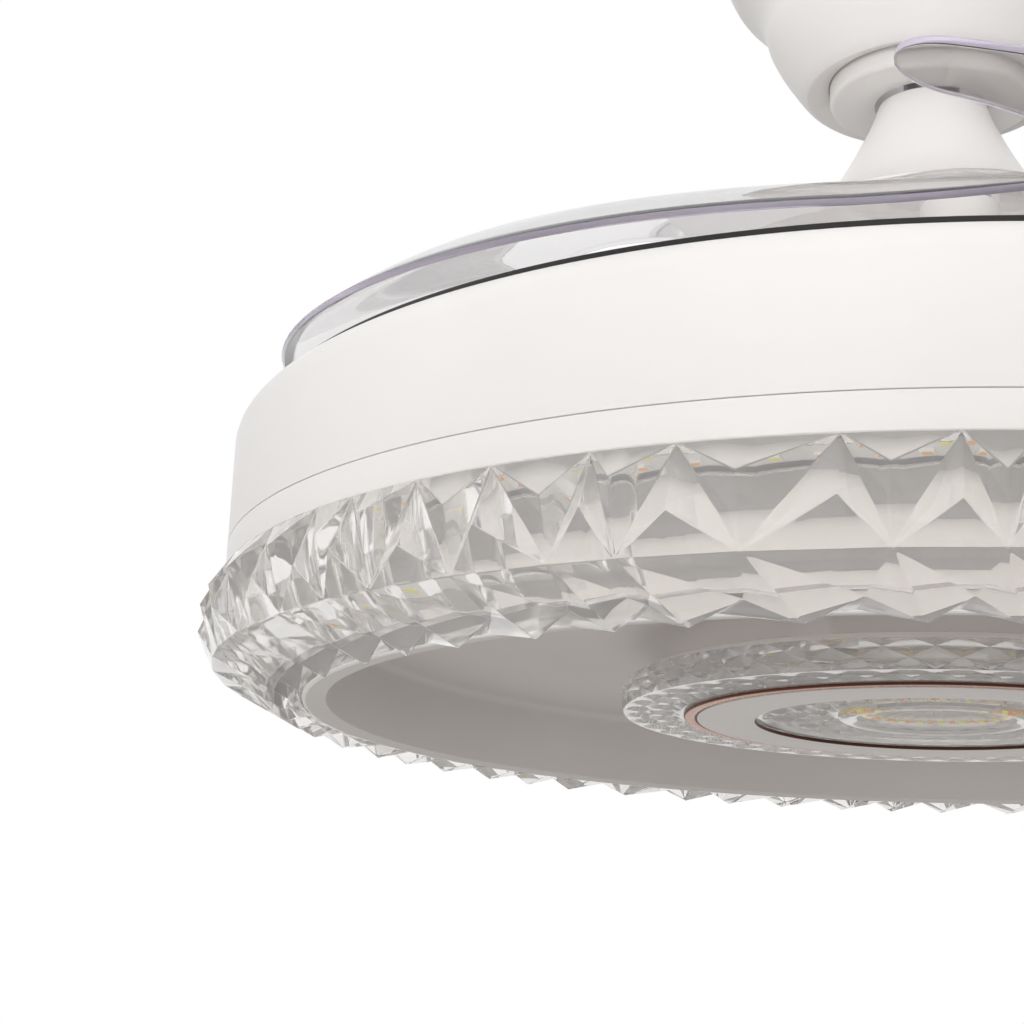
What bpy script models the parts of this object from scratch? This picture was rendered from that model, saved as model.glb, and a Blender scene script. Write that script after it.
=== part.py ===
"""Ceiling fan with three folding clear blades and a crystal ring light.

The origin is the centre of the hanger bracket's upper face, which lies against the ceiling.
+Z is up, so the whole fan hangs below the origin. All sizes are in metres.
Heights named below are taken from the drum's lower edge, and place() brings them to the origin.
"""
import math

import bmesh
import bpy
from mathutils import Matrix, Vector

# Sizes that many pieces share
DRUM_RADIUS = 0.250
SEAT = 0.0003                # gap between pieces that rest on each other
OVERRUN = 0.002              # how far a cutter passes through a face
SCREW_HOLE_OVERRUN = 0.004   # the same, through the canopy's curved side
MERGE = 0.00001              # points closer than this are merged
SHARP_ANGLE = math.radians(46)
BLADE_COUNT = 3
FULL_TURN = 2 * math.pi

# Facets round the circles
LARGE_STEPS = 40
COVER_STEPS = 24
MIDDLE_STEPS = 20
SMALL_STEPS = 12
SCREW_STEPS = 8

# Lower band, which carries the base plate on its ledge
BAND_HEIGHT = 0.0104
BAND_WALL = 0.0025
BAND_LEDGE_THICK = 0.0024
BAND_LEDGE_DEPTH = 0.0065

# Drum shell
SHELL_HEIGHT = 0.0443
SHELL_WALL = 0.0015
SHELL_CORNER = 0.0085
SHELL_CORNER_STEPS = 4

# Base plate, top plate and the posts between them
BASE_PLATE_THICK = 0.0015
TOP_PLATE_THICK = 0.0017
TOP_PLATE_MARGIN = 0.0002    # the top plate ends this far inside the shell's rounded corner
POST_COUNT = 3
POST_RADIUS = 0.005
POST_INSET = 0.045
POST_START = math.radians(30)
PLATE_HOLE_CLEARANCE = 0.0025

# Outer light board
BOARD_THICK = 0.0016
OUTER_BOARD_WIDTH = 0.016

# Recessed tray inside the crystal ring, as insets from the drum and depths below its edge
TRAY_LIP_INSET = 0.0288
TRAY_LIP_WIDTH = 0.0080
TRAY_TAPER = 0.0022
TRAY_WALL = 0.0012
TRAY_DEPTH = 0.0381          # the lip's underside
TRAY_CEILING = 0.0090        # the ceiling's underside
TRAY_LIP_THICK = 0.0016
TRAY_LIP_DROP = 0.0009

# Crystal ring: its cut points, as insets from the drum and depths below its edge
CRYSTAL_TOP_PROUD = 0.0010    # how far the crystal stands out past the drum's side
CRYSTAL_WAIST_PROUD = 0.0025
CRYSTAL_UPPER_PROUDS = (0.0080, 0.0072, 0.0080, 0.0066, 0.0078, 0.0070, 0.0080)
CRYSTAL_LOWER_PROUDS = (0.0076, 0.0080, 0.0070, 0.0080, 0.0068, 0.0078, 0.0074)
CRYSTAL_TIP_INSET = 0.0230
CRYSTAL_GROOVE_INSET = 0.0205
CRYSTAL_UPPER_DEPTHS = (0.0095, 0.0115, 0.0085, 0.0105, 0.0120, 0.0090, 0.0100)
CRYSTAL_LOWER_DEPTHS = (0.0185, 0.0165, 0.0195, 0.0175, 0.0160, 0.0190, 0.0170)
CRYSTAL_WAIST_DEPTH = 0.0290
CRYSTAL_GROOVE_DEPTH = 0.0357
CRYSTAL_TIP_DEPTH = 0.0421
CRYSTAL_WALL = 0.0090          # between the channel and the drum's side
CRYSTAL_INNER_WALL = 0.0041
CRYSTAL_FLOOR = 0.0047
CRYSTAL_CHANNEL_TAPER = 0.0087
CRYSTAL_BORE_LIFT = 0.0004     # how far the bore's lower edge ends above the tray's lip
CRYSTAL_BORE_CLEARANCE = 0.0009
CRYSTAL_SEGMENT_COUNT = 8
# Where the waist points of one segment stand, as shares of the segment
CRYSTAL_POINT_SHARES = (0.0, 0.131, 0.240, 0.400, 0.558, 0.653, 0.818)
# Where the top point between two waist points lies, as a share of their distance
CRYSTAL_PEAK_SHARES = (0.62, 0.42, 0.50, 0.36, 0.58, 0.48, 0.66)
CRYSTAL_TIP_SHARE = 0.30       # the same for the tips under the waist
CRYSTAL_START = math.radians(-137.2)

# Small disc, with its light board, trim rings and clear centre
DISC_TOP = 0.0230            # depth of the cut disc's upper face
DISC_RADIUS = 0.1105
DISC_VALLEY = 0.0024         # how deep the cuts go into its rim
DISC_THICK = 0.0101
DISC_BORE = 0.0640
DISC_CUT_COUNT = 44
BACK_PLATE_INSET = 0.0065
BACK_PLATE_THICK = 0.0022
WHITE_RING_LAP = 0.0010      # how far the white ring covers the disc's bore
WHITE_RING_WIDTH = 0.0205
WHITE_RING_THICK = 0.0012
COPPER_RING_WIDTH = 0.0044
COPPER_RING_THICK = 0.0009
INNER_BOARD_MARGIN = 0.0040
CENTRE_FLANGE_WIDTH = 0.0035
CENTRE_FACE_STEP = 0.0018
CENTRE_HUB_OUTER = 0.0342
CENTRE_HUB_WIDTH = 0.0070
CENTRE_HUB_PROUD = 0.0022
CENTRE_HUB_ROUND = 0.0010

# Stand-offs that hang the small disc in the tray
STANDOFF_COUNT = 3
STANDOFF_RADIUS = 0.0064
STANDOFF_STUD_RADIUS = 0.0025
STANDOFF_INSET = 0.021
STANDOFF_START = math.radians(-118)

# Electrical boxes on the base plate
DRIVER_SIZE = (0.150, 0.060, 0.028)
RECEIVER_SIZE = (0.095, 0.048, 0.024)
BOX_DISTANCE = 0.040         # from the rotor's axis to the nearer side of a box
BOX_CORNER = 0.003
BOX_CORNER_STEPS = 2

# Motor: stator, magnets, bearings and the rotor's housing
MOTOR_RUNNING_GAP = 0.0025
BEARING_RADIUS = 0.016
BEARING_WIDTH = 0.009
BEARING_LIP = 0.0030
MOTOR_RADIUS = 0.068
MOTOR_WALL = 0.0030
MOTOR_END_GAP = 0.0032       # between a bearing seat and the stator
STATOR_HEIGHT = 0.026
STATOR_CORE_RADIUS = 0.0260
STATOR_TOOTH_COUNT = 9
STATOR_TOOTH_WIDTH = 0.0095
STATOR_SHOE_THICK = 0.0045
STATOR_SLOT_MOUTH = 0.0030
MAGNET_AIR_GAP = 0.0012
MAGNET_THICK = 0.0135
MAGNET_HEIGHT = 0.022

# Motor shaft and its nut
SHAFT_RADIUS = 0.0075
SHAFT_WALL = 0.0030
SHAFT_ENTRY = 0.0072         # how far the shaft goes into the yoke
SHAFT_TAIL = 0.0010
NUT_ACROSS = 0.024
NUT_THICK = 0.0060
NUT_SIDE_COUNT = 6

# Rotor cover and blade carrier
COVER_CLEARANCE = 0.034      # between the motor and the cover's outside
COVER_WALL = 0.0020
COVER_HEADROOM = 0.0277      # between the motor and the cover's top
COVER_CROWN = 0.047
COVER_MOUTH = 0.040
COVER_ARC_STEPS = 5
CARRIER_THICK = 0.0025
CARRIER_RIM = 0.006
CARRIER_ARM_RADIUS = 0.015
CARRIER_END_STEPS = 8
CARRIER_PLATE_STEPS = 10

# Blades
BLADE_INSET = 0.014          # the folded blades' outer edge, in from the drum's side
BLADE_COVER_GAP = 0.037      # between the folded blades and the rotor cover
BLADE_THICK = 0.0020
BLADE_LIFT = 0.0078          # height of the root's outer edge over the top plate
BLADE_RISE = 0.0456          # how far the outer edge climbs from root to tip
BLADE_CAMBER_RADIUS = 0.150
BLADE_ROOT_SLOPE = 0.61
BLADE_MIDDLE_SLOPE = 0.75
BLADE_TIP_SLOPE = 0.10
BLADE_ARC = math.radians(135)
BLADE_LEVEL_ARC = math.radians(17.5)
BLADE_ROOT_ARC = math.radians(16)
BLADE_TIP_ARC = math.radians(55)
BLADE_NOSE_ARC = math.radians(3.7)
BLADE_FLATTEN_START = math.radians(85)
BLADE_FLATTEN_ARC = math.radians(41)
BLADE_ROOT_WIDTH_SHARE = 0.4742
BLADE_TIP_WIDTH = 0.029
BLADE_TIP_GROWTH = 0.73      # how fast the blade widens behind its nose
BLADE_CLIMB_SHARE = 0.47     # the share of the climb that is even, the rest comes near the tip
BLADE_CLIMB_POWER = 3
BLADE_ROOT_END_SHARE = 0.0018  # how far short of its rounding each end of the blade is cut off
BLADE_TIP_END_SHARE = 0.0003
BLADE_ROOT_STEPS = 3
BLADE_STEPS = 18
# Lines along the blade, as shares of its width from the outer edge: two of them frame the pad
BLADE_ROW_SHARES = (0.0, 0.20, 0.40, 0.56, 0.80, 1.0)
PIVOT_WIDTH_SHARE = 0.3196   # the pivot's place across the blade, from its inner edge
PIVOT_ARC = math.radians(10)
PIVOT_START = math.radians(-87.5)
PAD_HALF_WIDTH = 0.012
PAD_FLAT_RADIUS = 0.018
PAD_BLEND_WIDTH = 0.018

# Blade hubs, pivot pins and return springs
HUB_RADIUS = 0.0125
HUB_TAPER = 0.0015
HUB_WALL = 0.0025
HUB_CUP_DEPTH = 0.0100
PIN_RADIUS = 0.0040
PIN_FOOT_RADIUS = 0.0065
PIN_FOOT_THICK = 0.0012
PIN_HEAD_RADIUS = 0.0090
PIN_HEAD_THICK = 0.0030
SPRING_WIRE = 0.0012
SPRING_CLEARANCE = 0.0022    # between the coil and the hub's cup
SPRING_TURN_COUNT = 3
SPRING_GAP = 0.0007
SPRING_TURN_STEPS = 8

# Yoke and down rod
YOKE_RADIUS = 0.0155
YOKE_LENGTH = 0.0502
YOKE_ROD_DEPTH = 0.0330
ROD_RADIUS = 0.0105
ROD_WALL = 0.0020
ROD_HEAD = 0.019             # how far the rod passes the ball's centre

# Neck cover
NECK_WALL = 0.0020
NECK_COLLAR_THICK = 0.0030
NECK_COVER_GAP = 0.0033      # between the rotor cover and the neck's foot
NECK_HEIGHT = 0.0493
NECK_TOP_RADIUS = 0.0200
NECK_LAP = 0.016             # how far the neck's foot covers the rotor cover's mouth
# Points down the neck's outer side, as shares of its widening and of its height
NECK_OUTLINE_SHARES = (
    (0.0, 0.0), (0.053, 0.114), (0.142, 0.266), (0.369, 0.582), (0.542, 0.763), (0.769, 0.909),
    (1.0, 1.0),
)

# Canopy, its cap and its screws
CANOPY_RADIUS = 0.080
CANOPY_HEIGHT = 0.0692
CANOPY_WALL = 0.0015
CANOPY_RIM_RADIUS = 0.0466
CANOPY_MOUTH_WIDTH = 0.0081
CANOPY_MOUTH_RISE = 0.0032
# Points down the canopy's outer side: shares of the widening over the rim, and of its height
CANOPY_OUTLINE_SHARES = (
    (1.0, 1.0), (1.0, 0.775), (0.865, 0.635), (0.700, 0.535), (0.560, 0.462), (0.490, 0.396),
    (0.437, 0.310), (0.318, 0.200), (0.190, 0.105), (0.075, 0.030), (0.0, 0.0),
)
CAP_NECK_LIFT = 0.0016       # from the neck's top up to the cap's face
CAP_NECK_GAP = 0.0012        # how much wider than the neck's top the cap's hole is
CAP_FACE_DROP = 0.0043       # how far the cap's face hangs under the canopy's rim
CAP_ROUND = 0.0020
CAP_ROUND_STEPS = 2
CAP_WALL = 0.0018
CAP_FLANGE = 0.0038
CANOPY_SCREW_DROP = 0.0115
CANOPY_SCREW_RADIUS = 0.0018
CANOPY_SCREW_HEAD = 0.0040
CANOPY_SCREW_HEAD_THICK = 0.0022

# Hanger ball, cross pin, bracket and ceiling screws
BALL_RADIUS = 0.027
BALL_DROP = 0.032            # ceiling down to the ball's centre
BALL_CROWN_SHARE = 0.59      # where the ball is cut flat above and below, as shares of its radius
BALL_BASE_SHARE = 0.74
BALL_ROD_CLEARANCE = 0.0016
BALL_SEAT_SHARE = 0.667      # how far below its centre the ball sits, as a share of its radius
BALL_ARC_STEPS = 6
CROSS_PIN_RADIUS = 0.003
CROSS_PIN_INSET = 0.0025
BRACKET_STRAP = 0.003
BRACKET_INSET = 0.010        # between the canopy's side and the bracket's ends
BRACKET_WIDTH = 0.054
BRACKET_TAB = 0.020
BRACKET_LOOP_CLEARANCE = 0.006
BRACKET_SLOT_CLEARANCE = 0.0025
CEILING_SCREW_RADIUS = 0.0022
CEILING_SCREW_HEAD = 0.0048
CEILING_SCREW_HEAD_THICK = 0.0030
CEILING_SLOT_LENGTH = 0.010
CEILING_SLOT_CLEARANCE = 0.0006

# Heights over the drum's lower edge, worked up to the ceiling
BASE_PLATE_FOOT = BAND_LEDGE_THICK + SEAT
BASE_PLATE_TOP = BASE_PLATE_FOOT + BASE_PLATE_THICK
SHELL_FOOT = BAND_HEIGHT + SEAT
SHELL_TOP = SHELL_FOOT + SHELL_HEIGHT
TOP_PLATE_FOOT = SHELL_TOP + SEAT
TOP_PLATE_TOP = TOP_PLATE_FOOT + TOP_PLATE_THICK
CARRIER_FOOT = TOP_PLATE_TOP + MOTOR_RUNNING_GAP
CARRIER_TOP = CARRIER_FOOT + CARRIER_THICK
BEARING_SEAT_HEIGHT = MOTOR_WALL + SEAT + BEARING_WIDTH
MOTOR_HEIGHT = STATOR_HEIGHT + 2 * (BEARING_SEAT_HEIGHT + MOTOR_END_GAP)
MOTOR_FOOT = CARRIER_TOP + SEAT
MOTOR_SPLIT = MOTOR_FOOT + MOTOR_HEIGHT / 2
MOTOR_TOP = MOTOR_FOOT + MOTOR_HEIGHT
YOKE_FOOT = MOTOR_TOP + MOTOR_RUNNING_GAP
YOKE_TOP = YOKE_FOOT + YOKE_LENGTH
SHAFT_TOP = YOKE_FOOT + SHAFT_ENTRY
COVER_TOP = MOTOR_TOP + COVER_HEADROOM
NECK_FOOT = COVER_TOP + NECK_COVER_GAP
NECK_TOP = NECK_FOOT + NECK_HEIGHT
CAP_FACE = NECK_TOP + CAP_NECK_LIFT
CANOPY_RIM = CAP_FACE + CAP_FACE_DROP
CANOPY_TOP = CANOPY_RIM + CANOPY_HEIGHT
RIM_DROP = CANOPY_TOP + SEAT         # ceiling down to the drum's lower edge
BALL_HEIGHT = RIM_DROP - BALL_DROP
ROD_TOP = BALL_HEIGHT + ROD_HEAD

# Heights of the pieces under the drum
TRAY_ROOF = TRAY_WALL - TRAY_CEILING
BACK_PLATE_FOOT = SEAT - DISC_TOP
BACK_PLATE_TOP = BACK_PLATE_FOOT + BACK_PLATE_THICK
DISC_FOOT = -DISC_TOP - DISC_THICK
INNER_BOARD_FOOT = -DISC_TOP - BOARD_THICK

# Radii that follow from the sizes above
BAND_BORE = DRUM_RADIUS - BAND_LEDGE_DEPTH
TRAY_LIP_RADIUS = DRUM_RADIUS - TRAY_LIP_INSET
TRAY_MOUTH_RADIUS = TRAY_LIP_RADIUS - TRAY_LIP_WIDTH
TRAY_FLOOR_RADIUS = TRAY_MOUTH_RADIUS - TRAY_TAPER
BACK_PLATE_RADIUS = DISC_RADIUS - BACK_PLATE_INSET
STANDOFF_CIRCLE = BACK_PLATE_RADIUS - STANDOFF_INSET
WHITE_RING_BORE = DISC_BORE - WHITE_RING_LAP
WHITE_RING_OUTER = WHITE_RING_BORE + WHITE_RING_WIDTH
COPPER_RING_BORE = WHITE_RING_OUTER + SEAT
INNER_BOARD_RADIUS = DISC_BORE - INNER_BOARD_MARGIN
MAGNET_OUTER = MOTOR_RADIUS - MOTOR_WALL - SEAT
MAGNET_BORE = MAGNET_OUTER - MAGNET_THICK
STATOR_RADIUS = MAGNET_BORE - MAGNET_AIR_GAP
COVER_RADIUS = MOTOR_RADIUS + COVER_CLEARANCE
CARRIER_RADIUS = COVER_RADIUS + CARRIER_RIM
BLADE_RADIUS = DRUM_RADIUS - BLADE_INSET
BLADE_WIDTH = BLADE_RADIUS - COVER_RADIUS - BLADE_COVER_GAP
BLADE_ROOT_RADIUS = BLADE_RADIUS - BLADE_WIDTH * (1 - BLADE_ROOT_WIDTH_SHARE)
PIVOT_CIRCLE = BLADE_RADIUS - BLADE_WIDTH * (1 - PIVOT_WIDTH_SHARE)
NECK_FOOT_RADIUS = COVER_MOUTH + NECK_LAP
CANOPY_MOUTH_RADIUS = CANOPY_RIM_RADIUS - CANOPY_MOUTH_WIDTH
CAP_HOLE_RADIUS = NECK_TOP_RADIUS + CAP_NECK_GAP

# Sizes of the bracket that follow from the ball and the canopy
BALL_CROWN = BALL_RADIUS * BALL_CROWN_SHARE
BALL_BASE = BALL_RADIUS * BALL_BASE_SHARE
BALL_SEAT_DEPTH = BALL_RADIUS * BALL_SEAT_SHARE
BRACKET_LENGTH = 2 * (CANOPY_RADIUS - BRACKET_INSET)
BRACKET_LOOP_WIDTH = 2 * (BALL_RADIUS + BRACKET_LOOP_CLEARANCE + BRACKET_STRAP)
BRACKET_LOOP_DEPTH = BALL_DROP + BALL_SEAT_DEPTH
CEILING_SCREW_SPACING = (BRACKET_LOOP_WIDTH + BRACKET_LENGTH) / 2 - BRACKET_STRAP

COLLECTION_NAME = "retractable_ceiling_fan"
CUTTER_COLLECTION_NAME = "cutters"

for old_object in list(bpy.data.objects):
    bpy.data.objects.remove(old_object, do_unlink=True)

part_collection = bpy.data.collections.new(COLLECTION_NAME)
cutter_collection = bpy.data.collections.new(CUTTER_COLLECTION_NAME)
bpy.context.scene.collection.children.link(part_collection)
bpy.context.scene.collection.children.link(cutter_collection)


def place(height):
    """Height over the drum's lower edge, as a height over the origin at the ceiling."""
    return height - RIM_DROP


def polar(radius, angle, height):
    return Vector((radius * math.cos(angle), radius * math.sin(angle), height))


def make_material(name, colour, roughness, metallic=0.0, alpha=1.0):
    material = bpy.data.materials.new(name)
    material.use_nodes = True
    shader = material.node_tree.nodes["Principled BSDF"]
    shader.inputs["Base Color"].default_value = (*colour, 1.0)
    shader.inputs["Roughness"].default_value = roughness
    shader.inputs["Metallic"].default_value = metallic
    shader.inputs["Alpha"].default_value = alpha
    material.diffuse_color = (*colour, alpha)
    return material


WHITE_PAINT = make_material("white_paint", (0.84, 0.81, 0.79), 0.45)
WHITE_PLASTIC = make_material("white_plastic", (0.80, 0.77, 0.75), 0.40)
BLACK_PLASTIC = make_material("black_plastic", (0.020, 0.018, 0.016), 0.50)
CRYSTAL = make_material("crystal", (0.86, 0.85, 0.84), 0.05, alpha=0.45)
BLADE_PLASTIC = make_material("blade_plastic", (0.80, 0.77, 0.82), 0.06, alpha=0.35)
COPPER = make_material("copper", (0.62, 0.33, 0.22), 0.28, metallic=1.0)
STEEL = make_material("steel", (0.55, 0.55, 0.56), 0.35, metallic=1.0)
BOARD = make_material("light_board", (0.85, 0.85, 0.84), 0.50)
DARK_PLASTIC = make_material("dark_plastic", (0.06, 0.06, 0.065), 0.55)
MAGNET = make_material("magnet", (0.10, 0.10, 0.11), 0.60)


def add_object(name, mesh, material, parent=None, collection=part_collection):
    obj = bpy.data.objects.new(name, mesh)
    collection.objects.link(obj)
    if material is not None and not mesh.materials:
        mesh.materials.append(material)
    obj.parent = parent
    return obj


def add_empty(name, location, parent=None):
    empty = bpy.data.objects.new(name, None)
    part_collection.objects.link(empty)
    empty.location = location
    empty.parent = parent
    return empty


def arc(centre, radius, start, end, count):
    """Points on an arc in the profile plane, angles counted from outward to up."""
    points = []
    for index in range(count + 1):
        angle = start + (end - start) * index / count
        points.append((centre[0] + radius * math.cos(angle), centre[1] + radius * math.sin(angle)))
    return points


def mesh_from(name, shape, smooth=True):
    """Turns a bmesh into a mesh, shaded smooth except across its sharp edges."""
    mesh = bpy.data.meshes.new(name)
    shape.to_mesh(mesh)
    shape.free()
    if smooth:
        mesh.shade_smooth()
        mesh.set_sharp_from_angle(angle=SHARP_ANGLE)
    return mesh


def turned(name, outline, steps, material, parent=None, height=0.0):
    """A solid of revolution from a closed outline, or from one that runs from axis to axis."""
    shape = bmesh.new()
    points = [shape.verts.new((radius, 0.0, rise)) for radius, rise in outline]
    pairs = list(zip(points, points[1:]))
    ends_on_axis = outline[0][0] == 0 and outline[-1][0] == 0
    if not ends_on_axis:
        pairs.append((points[-1], points[0]))
    edges = [shape.edges.new(pair) for pair in pairs]
    bmesh.ops.spin(
        shape, geom=points + edges, cent=(0.0, 0.0, 0.0), axis=(0.0, 0.0, 1.0),
        angle=FULL_TURN, steps=steps, use_merge=True
    )
    bmesh.ops.remove_doubles(shape, verts=shape.verts, dist=MERGE)
    bmesh.ops.recalc_face_normals(shape, faces=shape.faces)
    obj = add_object(name, mesh_from(name, shape), material, parent)
    obj.location.z = height
    return obj


def turned_shell(name, outline, steps, wall, material, parent=None, height=0.0):
    """A thin shell: an open outline, outer side from top to bottom, turned and thickened inward."""
    mesh = bpy.data.meshes.new(name)
    points = [(radius, 0.0, rise) for radius, rise in outline]
    mesh.from_pydata(points, [(index, index + 1) for index in range(len(points) - 1)], [])
    obj = add_object(name, mesh, material, parent)
    obj.location.z = height
    screw = obj.modifiers.new("turn", "SCREW")
    screw.steps = steps
    screw.render_steps = steps
    screw.use_merge_vertices = True
    screw.merge_threshold = MERGE
    shell = obj.modifiers.new("wall", "SOLIDIFY")
    shell.thickness = wall
    shell.offset = -1.0
    shell.use_even_offset = True
    return obj


def ring(name, outer, bore, foot, top, steps, material, parent=None):
    outline = [(outer, top - foot), (outer, 0.0), (bore, 0.0), (bore, top - foot)]
    return turned(name, outline, steps, material, parent, place(foot))


def cylinder_mesh(name, radius, length, steps, upper_radius=None):
    """A cylinder, or a cone where the upper radius is given."""
    shape = bmesh.new()
    bmesh.ops.create_cone(
        shape, cap_ends=True, segments=steps, radius1=radius,
        radius2=radius if upper_radius is None else upper_radius, depth=length
    )
    return mesh_from(name, shape)


def box_mesh(name, size):
    shape = bmesh.new()
    bmesh.ops.create_cube(shape, size=1.0, matrix=Matrix.Diagonal((*size, 1.0)))
    return mesh_from(name, shape, smooth=False)


def add_cutter(name, mesh, location, rotation=(0.0, 0.0, 0.0), parent=None):
    cutter = add_object(name, mesh, None, parent, cutter_collection)
    cutter.location = location
    cutter.rotation_euler = rotation
    cutter.hide_render = True
    cutter.display_type = "WIRE"
    return cutter


def cut(obj, cutter):
    boolean = obj.modifiers.new("cut_" + cutter.name, "BOOLEAN")
    boolean.operation = "DIFFERENCE"
    boolean.object = cutter
    return boolean


def join(obj, other):
    boolean = obj.modifiers.new("join_" + other.name, "BOOLEAN")
    boolean.operation = "UNION"
    boolean.object = other
    return boolean


def flat_plate(name, outlines, thickness, material, parent=None):
    """A flat plate lying in XY, from closed outlines of which the first is the outer one."""
    curve = bpy.data.curves.new(name, "CURVE")
    curve.dimensions = "2D"
    curve.fill_mode = "BOTH"
    curve.extrude = thickness / 2
    for outline in outlines:
        spline = curve.splines.new("POLY")
        spline.points.add(len(outline) - 1)
        for point, place_on_plate in zip(spline.points, outline):
            point.co = (*place_on_plate, 0.0, 1.0)
        spline.use_cyclic_u = True
    flat = bpy.data.objects.new(name + "_outline", curve)
    part_collection.objects.link(flat)
    bpy.context.view_layer.update()
    evaluated = flat.evaluated_get(bpy.context.evaluated_depsgraph_get())
    filled = bpy.data.meshes.new_from_object(evaluated)
    shape = bmesh.new()
    shape.from_mesh(filled)
    bmesh.ops.remove_doubles(shape, verts=shape.verts, dist=MERGE)
    bmesh.ops.recalc_face_normals(shape, faces=shape.faces)
    bpy.data.objects.remove(flat, do_unlink=True)
    return add_object(name, mesh_from(name, shape), material, parent)


def circle_outline(radius, steps, centre=(0.0, 0.0)):
    points = []
    for index in range(steps):
        angle = FULL_TURN * index / steps
        points.append((centre[0] + radius * math.cos(angle), centre[1] + radius * math.sin(angle)))
    return points


def smooth_step(share):
    share = min(max(share, 0.0), 1.0)
    return share * share * (3 - 2 * share)


def build_band(parent):
    outline = [
        (DRUM_RADIUS, BAND_HEIGHT),
        (DRUM_RADIUS, 0.0),
        (BAND_BORE, 0.0),
        (BAND_BORE, BAND_LEDGE_THICK),
        (DRUM_RADIUS - BAND_WALL, BAND_LEDGE_THICK),
        (DRUM_RADIUS - BAND_WALL, BAND_HEIGHT),
    ]
    return turned("lower_band", outline, LARGE_STEPS, WHITE_PAINT, parent, place(0.0))


def build_drum_shell(parent):
    corner_centre = (DRUM_RADIUS - SHELL_CORNER, SHELL_TOP - SHELL_CORNER)
    outer = arc(corner_centre, SHELL_CORNER, math.pi / 2, 0.0, SHELL_CORNER_STEPS)
    inner = arc(corner_centre, SHELL_CORNER - SHELL_WALL, 0.0, math.pi / 2, SHELL_CORNER_STEPS // 2)
    lip = corner_centre[0] - SHELL_WALL
    outline = outer + [(DRUM_RADIUS, SHELL_FOOT), (DRUM_RADIUS - SHELL_WALL, SHELL_FOOT)] + inner
    outline += [(lip, SHELL_TOP - SHELL_WALL), (lip, SHELL_TOP)]
    return turned("drum_shell", outline, LARGE_STEPS, WHITE_PAINT, parent, place(0.0))


def build_plates(parent):
    hole = SHAFT_RADIUS + PLATE_HOLE_CLEARANCE
    base_radius = DRUM_RADIUS - BAND_WALL - SEAT
    ring("base_plate", base_radius, hole, BASE_PLATE_FOOT, BASE_PLATE_TOP, LARGE_STEPS, STEEL, parent)
    top_radius = DRUM_RADIUS - SHELL_CORNER - TOP_PLATE_MARGIN
    ring("top_plate", top_radius, hole, TOP_PLATE_FOOT, TOP_PLATE_TOP, LARGE_STEPS, BLACK_PLASTIC, parent)
    foot = BASE_PLATE_TOP + SEAT
    top = TOP_PLATE_FOOT - SEAT
    post_mesh = cylinder_mesh("frame_post", POST_RADIUS, top - foot, SCREW_STEPS)
    for index in range(POST_COUNT):
        post = add_object(f"frame_post_{index + 1}", post_mesh, STEEL, parent)
        angle = POST_START + FULL_TURN * index / POST_COUNT
        post.location = polar(DRUM_RADIUS - POST_INSET, angle, place((foot + top) / 2))


def build_outer_board(parent):
    outer = BAND_BORE - SEAT
    top = BASE_PLATE_FOOT - SEAT
    bore = outer - OUTER_BOARD_WIDTH
    return ring("outer_light_board", outer, bore, top - BOARD_THICK, top, LARGE_STEPS, BOARD, parent)


def crystal_angles():
    """Angles of the crystal ring's waist points, peaks, tips and grooves, all the way round."""
    waists = []
    for segment in range(CRYSTAL_SEGMENT_COUNT):
        for share in CRYSTAL_POINT_SHARES:
            waists.append(CRYSTAL_START + FULL_TURN * (segment + share) / CRYSTAL_SEGMENT_COUNT)
    following = waists[1:] + [waists[0] + FULL_TURN]
    peaks = []
    tips = []
    for index, (angle, after) in enumerate(zip(waists, following)):
        share = CRYSTAL_PEAK_SHARES[index % len(CRYSTAL_PEAK_SHARES)]
        peaks.append(angle + (after - angle) * share)
        tips.append(angle + (after - angle) * CRYSTAL_TIP_SHARE)
    grooves = [(angle + after) / 2 for angle, after in zip(tips, tips[1:] + [tips[0] + FULL_TURN])]
    return waists, peaks, tips, grooves


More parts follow.
